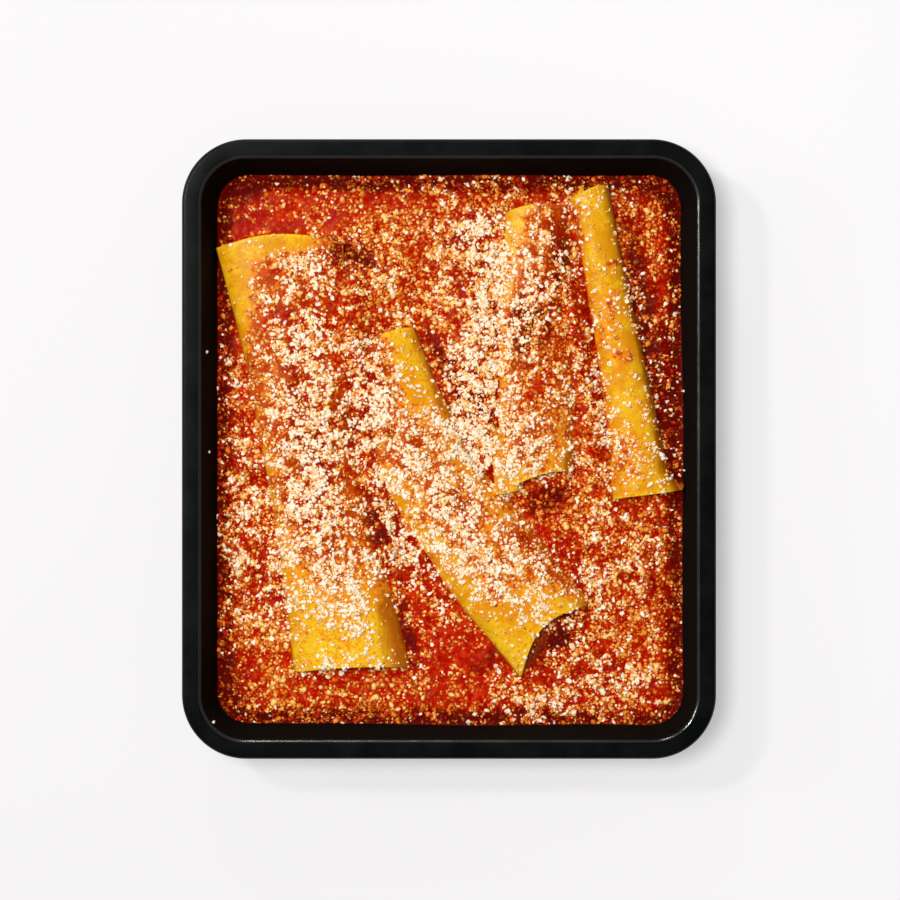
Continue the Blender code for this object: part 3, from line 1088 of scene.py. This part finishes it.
# Sauce heaped above its level.
MOUNDS = patches(
    # between the upper and the right roll
    (47, 46, 5, 28, 10, 6.5), (52, 5, 7, 22, 12, 4.5),
    # the ridge left of the upper roll, the wedge below it, and the hollow beyond it
    (8, 62, 14, 26, 0, 4.0), (13, 22, 9, 26, 10, 5.5), (-24, 62, 12, 20, 0, 2.5),
    # along the left roll's right side, down to the centre roll
    (-37, 48, 7, 24, 6, 7.0), (-31, 8, 6, 30, 5, 6.5), (-25, -30, 5, 17, 12, 5.0),
    # along the left sides of the left and the centre roll
    (-62, -62, 4, 22, 8, 1.3), (0, -48, 4, 20, 40, 1.2),
    # in the mouths of the centre and the upper roll
    (42, -67, 10, 7, 52, 4.5), (36, -15, 10, 5, 12, 3.5),
    # beside the centre roll, along the left wall, and close along both of the roll's sides
    (-14, -38, 5, 22, 30, 2.0), (-80, -30, 8, 40, 0, 1.5), (40, -38, 22, 4.5, -53, 3.2),
    (-12, -34, 20, 4.0, -57, 2.6),
)

# Where cheese and oil have melted into the sauce.
MELTED = PatchMap(patches(
    (-30, 78, 22, 16, 0, 0.9), (-24, 60, 14, 16, 0, 0.8), (5, 70, 24, 24, 0, 0.6), (8, 95, 40, 8, 0, 0.5),
    (75, 80, 12, 20, 0, 0.5), (-75, -70, 14, 24, 0, 0.8), (-40, -98, 40, 7, 0, 0.8),
    (60, -30, 26, 26, 0, 0.65), (70, -60, 18, 30, 0, 0.55), (40, -95, 30, 10, 0, 0.6),
    (50, 25, 8, 40, 5, 0.6), (-45, 0, 20, 60, 8, 0.4), (0, -10, 22, 30, 30, 0.6),
    (15, 40, 18, 40, 0, 0.6), (34, 40, 12, 46, 0, 0.4), (-80, -10, 9, 44, 0, 0.55),
    (-70, -52, 10, 12, 0, 0.6), (-66, -80, 7, 10, 0, 0.6),
), 0.22, bare=patches(
    # dark along the walls and in the near pool
    (-84, 66, 8, 24, 0, 1.0), (-66, 97, 26, 9, 0, 0.7), (84, 50, 5, 50, 0, 0.8),
    (-84, -84, 10, 16, 0, 0.7), (5, -80, 16, 12, 0, 0.6),
))

# Painted shade on the sauce, in part darker deep sauce: along the walls, and beside the rolls.
DEEP_AND_SHADED = PatchMap(patches(
    # along the walls
    (-87, 62, 4, 30, 0, 1.0), (-89, 0, 3, 40, 0, 0.7), (-88, -74, 6, 30, 0, 0.95),
    (-82, 99, 14, 9, 0, 0.85), (-85, -97, 10, 12, 0, 1.0), (-40, -103, 50, 3, 0, 0.5),
    (0, 102, 90, 4.5, 0, 0.6),
    # right of the right roll
    (72, 62, 5, 34, 10, 0.8), (80, 20, 5, 30, 8, 0.9), (84, 98, 10, 10, 0, 0.7),
    # behind the left roll's lap, and right of the centre roll's shoulder
    (-39, 74, 8, 5, -20, 1.0), (-30, 72, 5, 6, 0, 0.6), (0, 30, 15, 3, -61, 0.9),
    # right of the left roll, and on the upper roll
    (-16, -70, 3, 15, 15, 0.8), (-27, -30, 4, 16, 15, 0.6), (32, 46, 8, 14, 0, 0.75),
    (42, 70, 4, 10, 0, 0.7),
    # under the mouths of the upper and the centre roll, left of its tip, and by the right wall
    (38, -19, 13, 5, 12, 0.9), (42, -70, 12, 5, 52, 0.9), (18, -78, 4, 16, -50, 0.5),
    (78, -50, 5, 20, 0, 0.3),
))


def deep_and_shaded_at(tray: Tray, x: float, y: float) -> float:
    """Says how dark the sauce is painted: painted shade along the walls, beside the rolls and in the gaps
    between bits, in part darker deep sauce.

    Args:
        tray: The tray that it is in.
        x: The place across it.
        y: The place along it.

    Returns:
        0 in the open, up to 1 in the painted shade against a wall or a roll.
    """
    gap = tray.wall_spread(SAUCE_LEVEL) - tray.outward(x, y)[1]
    # painted shadow of the walls
    wall = 0.95 * (1 - ease(gap / (10 * MM)))
    # painted shade in the clear gaps between the bits
    clear = (1 - gathering(x, y, 1.3)) * (0.18 + 0.5 * float(DRIFTS.at(x, y)))
    return min(max(float(DEEP_AND_SHADED.at(x, y)) + wall + clear + 0.25 * ripple(x, y, 5 * MM, 41), 0.0), 1.0)


@dataclass
class Sauce:
    """The tomato sauce: a pool up to its level, heaped in places, and ladled over the rolls."""

    tray: Tray
    cell: float = 0.9 * MM
    climb: float = 0.8 * MM
    climb_reach: float = 1.0 * MM
    coat: float = 1.5 * MM
    cling: float = 0.15 * MM          # how far sauce is pressed into what it lies on
    under: float = 1.0 * MM           # how far into the pasta the sauce on a roll reaches
    buried: float = 1.2 * MM          # how far under a roll the surface is left out
    film: float = 0.8 * MM            # how thick sauce is when no pasta shows through
    floor_gap: float = 0.3 * MM       # how far its underside stays off the tray's floor
    wall_gap: float = 1.5 * MM        # and off the wall there
    drained_reach: float = 9 * MM
    drained: float = 2.0              # how far it sinks by the walls, in millimetres
    drained_far_left: float = 2.2     # and further by the far and the left wall
    lumps: tuple = ((0.45, 7 * MM, 0), (0.35, 2.6 * MM, 5), (0.2, 1.4 * MM, 9))

    def level(self, x: float, y: float, gap: float) -> float:
        """Works out the pool's height, with its waves, heaps and the film that climbs the wall.

        Args:
            x: The place across the tray.
            y: The place along it.
            gap: How far the wall is.

        Returns:
            The height.
        """
        wave = 0.5 * math.sin(x / (13 * MM) + 0.6) * math.cos(y / (17 * MM) - 0.4)
        lumps = sum(height * ripple(x, y, size, seed) for height, size, seed in self.lumps)
        away = ease(gap / self.drained_reach)
        heap = sum(float(mound.at(x, y)) for mound in MOUNDS) * away
        climb = self.climb * math.exp(-max(gap, 0.0) / self.climb_reach)
        far_left = max(ease(-x / self.tray.core.x), ease(y / self.tray.core.y))
        drained = self.drained + self.drained_far_left * far_left
        return SAUCE_LEVEL + (wave + lumps + heap - drained * (1 - away)) * MM + climb

    def coating(self, x: float, y: float) -> float:
        """How thickly sauce lies on a roll at a place; under nothing, the roll is bare."""
        return (ladled(x, y) - 0.06) * self.coat

    def build(self, finish: Material, rolls: Iterable[Object]) -> Object:
        """Pours the sauce: a fine level grid, raised over heaps and rolls, closed underneath.

        Args:
            finish: The sauce's material.
            rolls: The rolls that it lies round and on.

        Returns:
            The sauce.
        """
        trees = [evaluated_tree(roll) for roll in rolls]
        bm = bmesh.new()
        layers = {name: bm.verts.layers.float.new(name) for name in ("thin", "melted", "deep_and_shaded", "base")}
        low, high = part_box("tray")
        columns, rows = (round((high[axis] - low[axis] - 20 * MM) / self.cell) for axis in (0, 1))
        bmesh.ops.create_grid(bm, x_segments=columns, y_segments=rows, size=0.5)
        outside, buried = [], set()
        for vert in bm.verts:
            vert.co.x *= columns * self.cell
            vert.co.y *= rows * self.cell
            way, gap = self.fit_to_wall(vert)
            if gap < 0:
                outside.append(vert)
                continue
            if self.pour(vert, gap, trees, layers):
                buried.add(vert)
            if gap == 0:
                slide(vert, way, self.tray.wall_spread(vert.co.z) - self.tray.wall_spread(SAUCE_LEVEL))
        sunk = [face for face in bm.faces if all(vert in buried for vert in face.verts)]
        bmesh.ops.delete(bm, geom=outside, context="VERTS")
        bmesh.ops.delete(bm, geom=[face for face in sunk if face.is_valid], context="FACES")
        loose = [vert for vert in bm.verts if not vert.link_faces]
        bmesh.ops.delete(bm, geom=loose, context="VERTS")
        self.close(bm, layers["base"])
        piece = add_piece("sauce_pool", bm, finish, 60)
        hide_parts("sauce")
        return piece

    def fit_to_wall(self, vert: bmesh.types.BMVert) -> tuple[Vector, float]:
        """Draws a point that lies close to the wall on to it.

        Args:
            vert: The point, which is moved in place.

        Returns:
            The direction to the wall, and how far it is: 0 on it, and less outside it.
        """
        way, spread = self.tray.outward(vert.co.x, vert.co.y)
        gap = self.tray.wall_spread(SAUCE_LEVEL) + self.cling - spread
        if gap < -0.7 * self.cell or gap >= 0.45 * self.cell:
            return way, gap
        slide(vert, way, gap)
        return way, 0.0

    def pour(self, vert: bmesh.types.BMVert, gap: float, trees: list[BVHTree],
             layers: dict[str, bmesh.types.BMLayerItem]) -> bool:
        """Raises a point of the grid to the sauce's surface, and says what the sauce is like there.

        Args:
            vert: The point, which is moved in place.
            gap: How far the wall is.
            trees: The rolls.
            layers: Where what it is like is kept, by name.

        Returns:
            Whether it lies well under a roll.
        """
        x, y = vert.co.x, vert.co.y
        pool = self.level(x, y, gap)
        hits = [look_down(tree, x, y)[0] for tree in trees]
        top = max((hit.z for hit in hits if hit), default=0.0)
        coating = self.coating(x, y)
        cover = top - self.cling + (coating if coating > 0 else 3 * coating)
        on_roll = cover > pool
        vert.co.z = cover if on_roll else pool
        melted = float(MELTED.at(x, y)) + 0.25 * ripple(x, y, 8 * MM, 31)
        melted *= 0.35 + 0.65 * gathering(x, y, 1.2)
        vert[layers["thin"]] = 1 - ease(coating / self.film) if on_roll else 0.0
        vert[layers["base"]] = top - self.under if on_roll else 0.0
        vert[layers["melted"]] = min(max(melted, 0.0), 1.0)
        # painted shade, kept on each point
        vert[layers["deep_and_shaded"]] = deep_and_shaded_at(self.tray, x, y)
        return top - vert.co.z > self.buried

    def close(self, bm: bmesh.types.BMesh, base_layer: bmesh.types.BMLayerItem) -> None:
        """Draws the surface down to the tray's floor, or into the pasta where it lies on a roll.

        Args:
            bm: The surface, which is closed in place.
            base_layer: How far down it goes over a roll, or 0.
        """
        floor = self.tray.sheet + self.floor_gap
        squeeze = (self.tray.wall_spread(floor) - self.wall_gap) / self.tray.wall_spread(SAUCE_LEVEL)
        drawn = bmesh.ops.extrude_face_region(bm, geom=bm.faces[:])["geom"]
        for vert in new_verts(drawn):
            base = vert[base_layer]
            if base > floor:
                vert.co.z = base
                continue
            way, spread = self.tray.outward(vert.co.x, vert.co.y)
            slide(vert, way, spread * (squeeze - 1))
            vert.co.z = floor
        bmesh.ops.recalc_face_normals(bm, faces=bm.faces[:])


# --- the cheese ---------------------------------------------------------------------------------

class BitShape(Enum):
    """The kinds of grated bits."""

    GRANULE = "a small round granule"
    SHARD = "a sharp little splinter"
    GRAIN = "a ragged grain"
    SHRED = "a short bent shred"


@dataclass(frozen=True)
class BitMaker:
    """Makes a few different bits of a kind, each about one unit across."""

    shape: BitShape
    variants: int = 12

    def make(self, seed: int) -> list[tuple[np.ndarray, np.ndarray]]:
        """The variants, each as its points and its triangles."""
        rng = np.random.default_rng(seed)
        return [self.make_one(rng) for _ in range(self.variants)]

    def make_one(self, rng: np.random.Generator) -> tuple[np.ndarray, np.ndarray]:
        """One bit, roughened from a simple solid.

        Args:
            rng: Where its chances come from.

        Returns:
            Its points and its triangles.
        """
        bm = bmesh.new()
        if self.shape in (BitShape.GRANULE, BitShape.GRAIN):
            bmesh.ops.create_icosphere(bm, subdivisions=1, radius=0.5)
            rough = 0.08 if self.shape is BitShape.GRANULE else 0.13
        else:
            bmesh.ops.create_cube(bm, size=0.72)
            rough = 0.17
        if self.shape is BitShape.SHRED:
            bmesh.ops.subdivide_edges(bm, edges=bm.edges[:], cuts=1, use_grid_fill=True)
        for vert in bm.verts:
            vert.co += Vector(rng.normal(0, rough, 3))
        if self.shape is BitShape.SHRED:
            for vert in bm.verts:
                vert.co.z += 0.9 * vert.co.x * vert.co.x
        bmesh.ops.triangulate(bm, faces=bm.faces[:])
        bmesh.ops.recalc_face_normals(bm, faces=bm.faces[:])
        points = np.array([vert.co for vert in bm.verts])
        faces = np.array([[vert.index for vert in face.verts] for face in bm.faces])
        bm.free()
        return points, faces


class Ground(Enum):
    """What a bit may land on."""

    WET = "sauce and filling"
    PASTA = "pasta"
    STEEL = "the tray"


class Landing:
    """Where bits come to rest when they are dropped on the food, heap by heap."""

    highest_heap = 1.2 * MM

    def __init__(self, grounds: dict[Ground, list[Object]], cell: float = 1.3 * MM) -> None:
        """Reads the surfaces that catch the bits.

        Args:
            grounds: The pieces of each kind of ground.
            cell: How wide the squares are whose heaps are counted.
        """
        self.trees = [(ground, evaluated_tree(piece))
                      for ground, pieces in grounds.items() for piece in pieces]
        self.cell = cell
        self.heaps: dict[tuple[int, int], float] = {}

    def drop(self, x: float, y: float, size: float, proud: float,
             grounds: tuple[Ground, ...]) -> Vector | None:
        """Drops a bit, and adds it to the heap there.

        Args:
            x: The place across the dish.
            y: The place along it.
            size: The bit's size.
            proud: The share of its size by which its middle stands out.
            grounds: What it may land on.

        Returns:
            Where its middle comes to rest, or nothing where it wouldn't stay.
        """
        best = None
        for ground, tree in self.trees:
            hit, normal = look_down(tree, x, y)
            if hit and (best is None or hit.z > best[0].z):
                best = hit, normal, ground
        if best is None or best[2] not in grounds:
            return None
        hit, normal, _ = best
        if normal.z < 0:
            normal = -normal
        key = (math.floor(x / self.cell), math.floor(y / self.cell))
        heap = self.heaps.get(key, 0.0)
        self.heaps[key] = heap + 0.8 * proud * size * size / self.cell
        return hit + normal * proud * size + Vector((0, 0, min(heap, self.highest_heap)))


KEPT_OFF = 0.4 * MM    # how far bits stay off the wall and under the rim
HANDFUL = 4000         # how many places are tried at a time


@dataclass
class Sprinkle:
    """One kind of bits, dropped over the food and joined into one piece."""

    name: str
    shape: BitShape
    count: int
    small: float
    large: float
    drifts: PatchMap
    seed: int
    finish: Cheese
    slot: str
    stretch: float = 1.5
    flatness: float = 0.8
    faceted: bool = False
    proud: float = 0.2
    clump: float = 0.5
    contrast: float = 1.0
    tone: tuple[float, float] = (0.0, 1.0)
    soak: float = 0.4
    # how far a bit's tone is painted darker where the sauce lies in painted shade
    painted_shade: float = 0.2
    grounds: tuple[Ground, ...] = (Ground.WET, Ground.PASTA)
    strays: tuple[tuple[float, float], ...] = ()

    def places(self, tray: Tray, rng: np.random.Generator) -> Iterable[tuple[float, float]]:
        """Picks places over the food, thick in the drifts and thin between them.

        Args:
            tray: The tray that they stay in.
            rng: Where the chances come from.

        Yields:
            The places, without end, in metres.
        """
        reach = tray.wall_spread(SAUCE_LEVEL) - KEPT_OFF
        for x, y in self.strays:
            yield x * MM, y * MM
        while True:
            x = rng.uniform(-1, 1, HANDFUL) * (tray.core.x + reach)
            y = rng.uniform(-1, 1, HANDFUL) * (tray.core.y + reach)
            wanted = self.drifts.at(x, y)
            lots = rng.uniform(0, 1, HANDFUL)
            for px, py, share, lot in zip(x, y, wanted, lots):
                if lot > share or tray.outward(px, py)[1] > reach:
                    continue
                close = gathering(px, py, self.clump)
                if lot < share ** self.contrast * (close + (1 - close) * 0.4 * share * share):
                    yield px, py

    def build(self, tray: Tray, landing: Landing, finish: Material) -> Object:
        """Drops every bit and joins them.

        Args:
            tray: The tray that holds them.
            landing: What they land on.
            finish: Their material.

        Returns:
            The joined bits.
        """
        rng = np.random.default_rng(self.seed)
        variants = BitMaker(self.shape).make(self.seed)
        points, faces, tones = [], [], []
        total = 0
        spots = self.places(tray, rng)
        for _ in range(self.count):
            x, y = next(spots)
            size = self.small * (self.large / self.small) ** (rng.beta(1.4, 2.4))
            place = landing.drop(x, y, size, self.proud, self.grounds)
            if place is None:
                continue
            proto, triangles = variants[rng.integers(len(variants))]
            scale = np.array([self.stretch ** rng.uniform(0, 1), 1.0, self.flatness]) * size
            turn = self.turned(rng)
            bit = (proto * scale) @ turn.T + np.array(place)
            bit[:, 2] = np.minimum(bit[:, 2], tray.height - KEPT_OFF)
            tray.hold_in(bit)
            points.append(bit)
            faces.append(triangles + total)
            low, high = bit[:, 2].min(), bit[:, 2].max()
            depth = (high - bit[:, 2]) / max(high - low, 1e-6)
            # painted shade: bits are toned darker in the shaded places by the walls and rolls
            tones.append(rng.uniform(*self.tone) + self.soak * depth + self.painted_shade * deep_and_shaded_at(tray, x, y))
            total += len(bit)
        mesh = bpy.data.meshes.new(self.name)
        mesh.from_pydata(np.concatenate(points).tolist(), [], np.concatenate(faces).tolist())
        tone = mesh.attributes.new("tone", "FLOAT", "POINT")
        tone.data.foreach_set("value", np.concatenate(tones).astype(np.float32))
        if not self.faceted:
            mesh.shade_smooth()
        piece = add_mesh(self.name, mesh, finish)
        return piece

    def turned(self, rng: np.random.Generator) -> np.ndarray:
        """Turns a bit at random, mostly about the upright axis.

        Args:
            rng: Where the chances come from.

        Returns:
            The turn as a matrix.
        """
        spin, tip, roll = rng.uniform(0, 2 * math.pi), rng.normal(0, 0.5), rng.normal(0, 0.5)
        cz, sz, cy, sy, cx, sx = (math.cos(spin), math.sin(spin), math.cos(tip), math.sin(tip),
                                  math.cos(roll), math.sin(roll))
        upright = np.array([[cz, -sz, 0], [sz, cz, 0], [0, 0, 1]])
        tipped = np.array([[cy, 0, sy], [0, 1, 0], [-sy, 0, cy]])
        rolled = np.array([[1, 0, 0], [0, cx, -sx], [0, sx, cx]])
        return upright @ tipped @ rolled


# Where the dry cheese lies thick.
DRIFTS = PatchMap(patches(
    # the left roll
    (-58, 66, 15, 11, 0, 0.46), (-62, -30, 5, 26, 8, 0.30), (-59, -62, 5, 18, 8, 0.60),
    (-56, 44, 15, 14, 0, 0.42), (-56, 22, 13, 14, 5, 0.48), (-37, 8, 7, 14, 5, 0.38),
    (-52, 0, 12, 20, 5, 0.78), (-50, -22, 13, 16, 5, 0.66), (-44, -46, 14, 14, 10, 0.80),
    (-37, -60, 9, 14, 0, 0.84), (-42, -82, 20, 3, 3, 0.45),
    # along the left wall
    (-76, -16, 10, 18, 0, 0.34), (-76, -44, 12, 16, 0, 0.36), (-82, 24, 6, 26, 0, 0.22),
    (-69, -50, 6, 8, 0, 0.26),
    # the ridge, from its far end down to the upper roll's mouth
    (7, 82, 9, 10, 0, 0.80), (14, 66, 14, 14, 0, 0.60), (19, 46, 12, 15, 0, 0.88),
    (9, 25, 12, 12, 0, 0.92), (8, 6, 14, 14, 0, 0.92), (20, -2, 13, 12, 0, 0.72),
    (34, 4, 10, 10, 0, 0.42),
    # the upper roll, and between the left roll and the ridge
    (36, 78, 11, 12, 0, 0.44), (36, 60, 10, 8, 0, 0.38), (28, 48, 9, 10, 0, 0.36),
    (-24, 62, 12, 12, 0, 0.14), (-27, 32, 9, 12, 0, 0.45),
    # the centre roll, with the sauce beside its left side
    (-24, 14, 12, 14, 0, 0.70), (-16, -8, 12, 14, 0, 0.66), (-17, -32, 7, 14, -20, 0.30),
    (-14, -41, 17, 5, -55, 0.42), (0, -18, 13, 13, 0, 0.70), (5, -38, 12, 13, 30, 0.76),
    (18, -48, 13, 11, 0, 0.72), (24, -37, 8, 8, 0, 0.40), (34, -60, 11, 8, 0, 0.52),
    # the right roll, and the sauce beside its left side
    (66, 50, 7, 14, 0, 0.26), (56, 24, 4, 34, 10, 0.36), (70, 2, 8, 12, 0, 0.34),
    (48, 22, 8, 18, 0, 0.26), (64, -23, 8, 6, 0, 0.26),
    # the lower right
    (56, -48, 20, 12, 0, 0.34), (60, -86, 16, 9, 0, 0.44), (34, -97, 18, 7, 0, 0.40),
), 0.10, bare=patches(
    # the left roll's far corner, its left side, and both sides of its near end
    (-82, 64, 8, 15, 8, 1.0), (-66, 82, 18, 5, -5, 1.0), (-76, 36, 4, 26, 10, 0.8),
    (-56, -72, 7, 13, 5, 0.8), (-23, -70, 6, 17, 15, 0.95),
    # the centre roll's right shoulder, its far end, its left flank and tip
    (-8.5, 32, 16, 3.6, -61, 0.95), (-20, 43, 7, 4, 0, 0.7), (15.6, -74.5, 16, 5, -52, 0.95),
    # the upper roll's far corner and middle, and the right roll
    (27, 86, 6, 8, 0, 0.8), (38, 38, 7, 8, 0, 0.7), (59, 74, 7, 24, 10, 0.6), (69, 25, 5, 18, 12, 0.3),
    # clear sauce
    (-62, 93, 36, 9, 0, 0.9), (6, -84, 14, 16, 0, 0.85), (40, -20, 14, 7, 12, 0.7),
    (84, -61, 6, 34, 0, 0.8), (75, 84, 14, 22, 0, 0.8), (-73, -86, 18, 12, 0, 0.8),
    (-32, -98, 30, 7, 0, 0.7), (-88, 10, 4, 90, 0, 0.7), (-84, -98, 9, 9, 0, 0.8),
    (-80, 100, 14, 6, 0, 0.8),
    # small gaps on and beside the left and the centre roll
    (-39, 74, 6, 4, -20, 0.8), (-69, 70, 8, 9, 8, 0.75), (-67, -26, 5, 13, 0, 0.5),
    (-36, -9, 6, 7, 0, 0.45), (-9, 9, 6, 6, 0, 0.45),
))

# Where cheese has soaked into the sauce.
SOAKED = PatchMap(MELTED.patches, 0.34, bare=patches(
    (-62, 95, 30, 10, 0, 0.78), (-86, -80, 8, 18, 0, 0.35), (6, -84, 14, 14, 0, 0.75),
    (83, -61, 6, 34, 0, 0.5), (-39, 74, 7, 4, -20, 0.8), (-85, -98, 8, 10, 0, 0.9),
    (-84, 98, 10, 9, 0, 0.8),
))

# Where a few oily crumbs lie on the pasta as well.
OILY = PatchMap(DRIFTS.patches, 0.20, bare=patches(
    (-74, 74, 10, 8, 0, 0.7), (-62, 95, 30, 10, 0, 0.85), (-44, -78, 14, 10, 0, 0.5),
    (-23, -70, 6, 17, 15, 0.85), (20, -80, 16, 6, -52, 0.7),
))

SPRINKLES = (
    Sprinkle("soaked_granules", BitShape.GRANULE, 7000, 0.9 * MM, 2.7 * MM, SOAKED, 11,
             SOAKED_CHEESE, "melted_cheese", stretch=1.6, proud=0.08, clump=1.5, tone=(-0.35, 0.85),
             soak=0.6, painted_shade=0.7, grounds=(Ground.WET,)),
    Sprinkle("soaked_specks", BitShape.SHARD, 13000, 0.45 * MM, 1.1 * MM, SOAKED, 16,
             SOAKED_CHEESE, "melted_cheese", proud=0.08, clump=0.8, tone=(0.0, 1.0),
             soak=0.5, painted_shade=0.6, grounds=(Ground.WET,)),
    Sprinkle("soaked_crumbs", BitShape.SHARD, 6300, 0.6 * MM, 1.4 * MM, OILY, 15,
             SOAKED_CHEESE, "melted_cheese", clump=1.0, tone=(-0.6, 0.35), soak=0.2, painted_shade=0.6),
    Sprinkle("cheese_grains", BitShape.GRAIN, 4900, 0.9 * MM, 2.2 * MM, DRIFTS, 12,
             DRY_CHEESE, "grated_cheese", faceted=True, clump=1.3, contrast=1.3, tone=(-0.3, 0.3), soak=0.7),
    Sprinkle("cheese_crumbs", BitShape.SHARD, 10000, 0.5 * MM, 1.3 * MM, DRIFTS, 13,
             DRY_CHEESE, "grated_cheese", faceted=True, clump=1.3, contrast=1.2, tone=(-0.2, 0.9), soak=0.5),
    Sprinkle("cheese_shreds", BitShape.SHRED, 300, 0.6 * MM, 1.0 * MM, DRIFTS, 14,
             DRY_CHEESE, "grated_cheese", stretch=3.0, flatness=0.6, tone=(-0.2, 0.3)),
    Sprinkle("stray_grains", BitShape.GRAIN, 6, 1.0 * MM, 1.6 * MM, DRIFTS, 17,
             DRY_CHEESE, "grated_cheese", tone=(-0.3, 0.1), grounds=(Ground.STEEL,),
             strays=((-91.4, 36.4), (-90.6, -1.1), (-88.4, -102.6), (89.2, 22), (88.8, 15.2), (89.4, -8))),
)


# --- the studio ---------------------------------------------------------------------------------

@dataclass(frozen=True)
class Studio:
    """A pale floor, a soft key light from the left, even fill, and a camera straight above."""

    floor_size: float = 4.0
    camera_height: float = 1.04
    view_width: float = 336.5 * MM
    sensor: float = 36.0
    centre_shift: float = 0.375 * MM
    fill: float = 0.20
    glow: float = 0.437
    sky: Colour = (1.0, 0.99, 1.0)
    lamp: Colour = (1.0, 0.985, 0.965)
    # painted light: the floor is painted lighter towards the right
    floor_left: Colour = (0.435, 0.43, 0.44)
    floor_right: Colour = (0.505, 0.50, 0.51)
    floor_middle: float = 200 * MM    # how far either side of the dish the floor's tone changes
    lights: tuple = (
        ("key light", (-0.20, 0.09, 1.34), 0.30, 12.9, False),
        ("spark light", (-0.60, 0.37, 1.15), 0.10, 3.2, True),
        ("left window light", (-1.10, 0.30, 0.85), 0.20, 1.6, True),
        ("far window light", (-0.25, 1.10, 0.85), 0.20, 1.6, True),
    )

    def build(self, tray: Tray) -> None:
        """Sets the floor, lights and camera.

        Args:
            tray: The tray, whose rim fills the view.
        """
        scene = bpy.context.scene
        scene.view_settings.view_transform = "Standard"
        self.add_floor()
        for name, place, size, energy, mirrored in self.lights:
            self.add_light(name, place, size, energy, mirrored)
        world = bpy.data.worlds.new("studio fill")
        scene.world = world
        world.use_nodes = True
        background = world.node_tree.nodes["Background"]
        background.inputs["Color"].default_value = (*self.sky, 1)
        background.inputs["Strength"].default_value = self.fill
        world.cycles_visibility.glossy = False
        data = bpy.data.cameras.new("overhead camera")
        data.sensor_width = self.sensor
        data.lens = self.sensor * (self.camera_height - tray.height) / self.view_width
        camera = bpy.data.objects.new("overhead camera", data)
        camera.location = (self.centre_shift, -self.centre_shift, self.camera_height)
        scene.collection.objects.link(camera)
        scene.camera = camera

    def add_floor(self) -> None:
        """A pale matte table top with painted light: it glows, which lightens the shadows on it, and it is
        painted lighter towards the right.
        """
        bm = bmesh.new()
        bmesh.ops.create_grid(bm, x_segments=1, y_segments=1, size=self.floor_size / 2)
        mesh = bpy.data.meshes.new("floor")
        bm.to_mesh(mesh)
        bm.free()
        floor = bpy.data.objects.new("floor", mesh)
        graph = Graph("pale_floor")
        # painted light: the floor glows, which lightens the shadows on it
        graph.settle(Specular_IOR_Level=0.0, Emission_Color=(*self.sky, 1), Emission_Strength=self.glow)
        clouds = graph.lumps(120 * MM, 2)
        across = graph.span(graph.along("X"), -self.floor_middle, self.floor_middle)
        colour = graph.blend(across, self.floor_left, self.floor_right)
        mesh.materials.append(graph.finish(colour, graph.bump(clouds, 0.1 * MM, 0.1), 0.8))
        bpy.context.scene.collection.objects.link(floor)

    def add_light(self, name: str, place: tuple, size: float, energy: float, mirrored: bool) -> None:
        """Adds a round soft box that faces the dish.

        Args:
            name: What it is called.
            place: Where it hangs.
            size: How wide it is.
            energy: Its power in watts.
            mirrored: Whether gloss mirrors it; a polarised light isn't mirrored.
        """
        data = bpy.data.lights.new(name, "AREA")
        data.shape = "DISK"
        data.size = size
        data.energy = energy
        data.color = self.lamp
        light = bpy.data.objects.new(name, data)
        light.location = place
        light.visible_glossy = mirrored
        light.rotation_euler = (-Vector(place)).to_track_quat("-Z", "Y").to_euler()
        bpy.context.scene.collection.objects.link(light)


def main() -> None:
    """Builds the dish in the order in which it is made."""
    logging.basicConfig(level=logging.INFO, format="%(message)s")
    steel, sauce_look, pasta_look, mince = (finish().make() for finish in
                                            (BakingCoat, TomatoSauce, EggPasta, MeatFilling))
    cheeses = {cheese.name: cheese.make() for cheese in (DRY_CHEESE, SOAKED_CHEESE)}
    tray = Tray()
    tray_piece = tray.build(steel)
    rolls = [roll.build(pasta_look) for roll in ROLLS]
    fillings = [Filling(roll).build(mince) for roll in ROLLS]
    sauce = Sauce(tray).build(sauce_look, rolls)
    landing = Landing({Ground.WET: [sauce, *fillings], Ground.PASTA: rolls, Ground.STEEL: [tray_piece]})
    for sprinkle in SPRINKLES:
        sprinkle.build(tray, landing, cheeses[sprinkle.finish.name])
    Studio().build(tray)


if __name__ == "__main__":
    main()
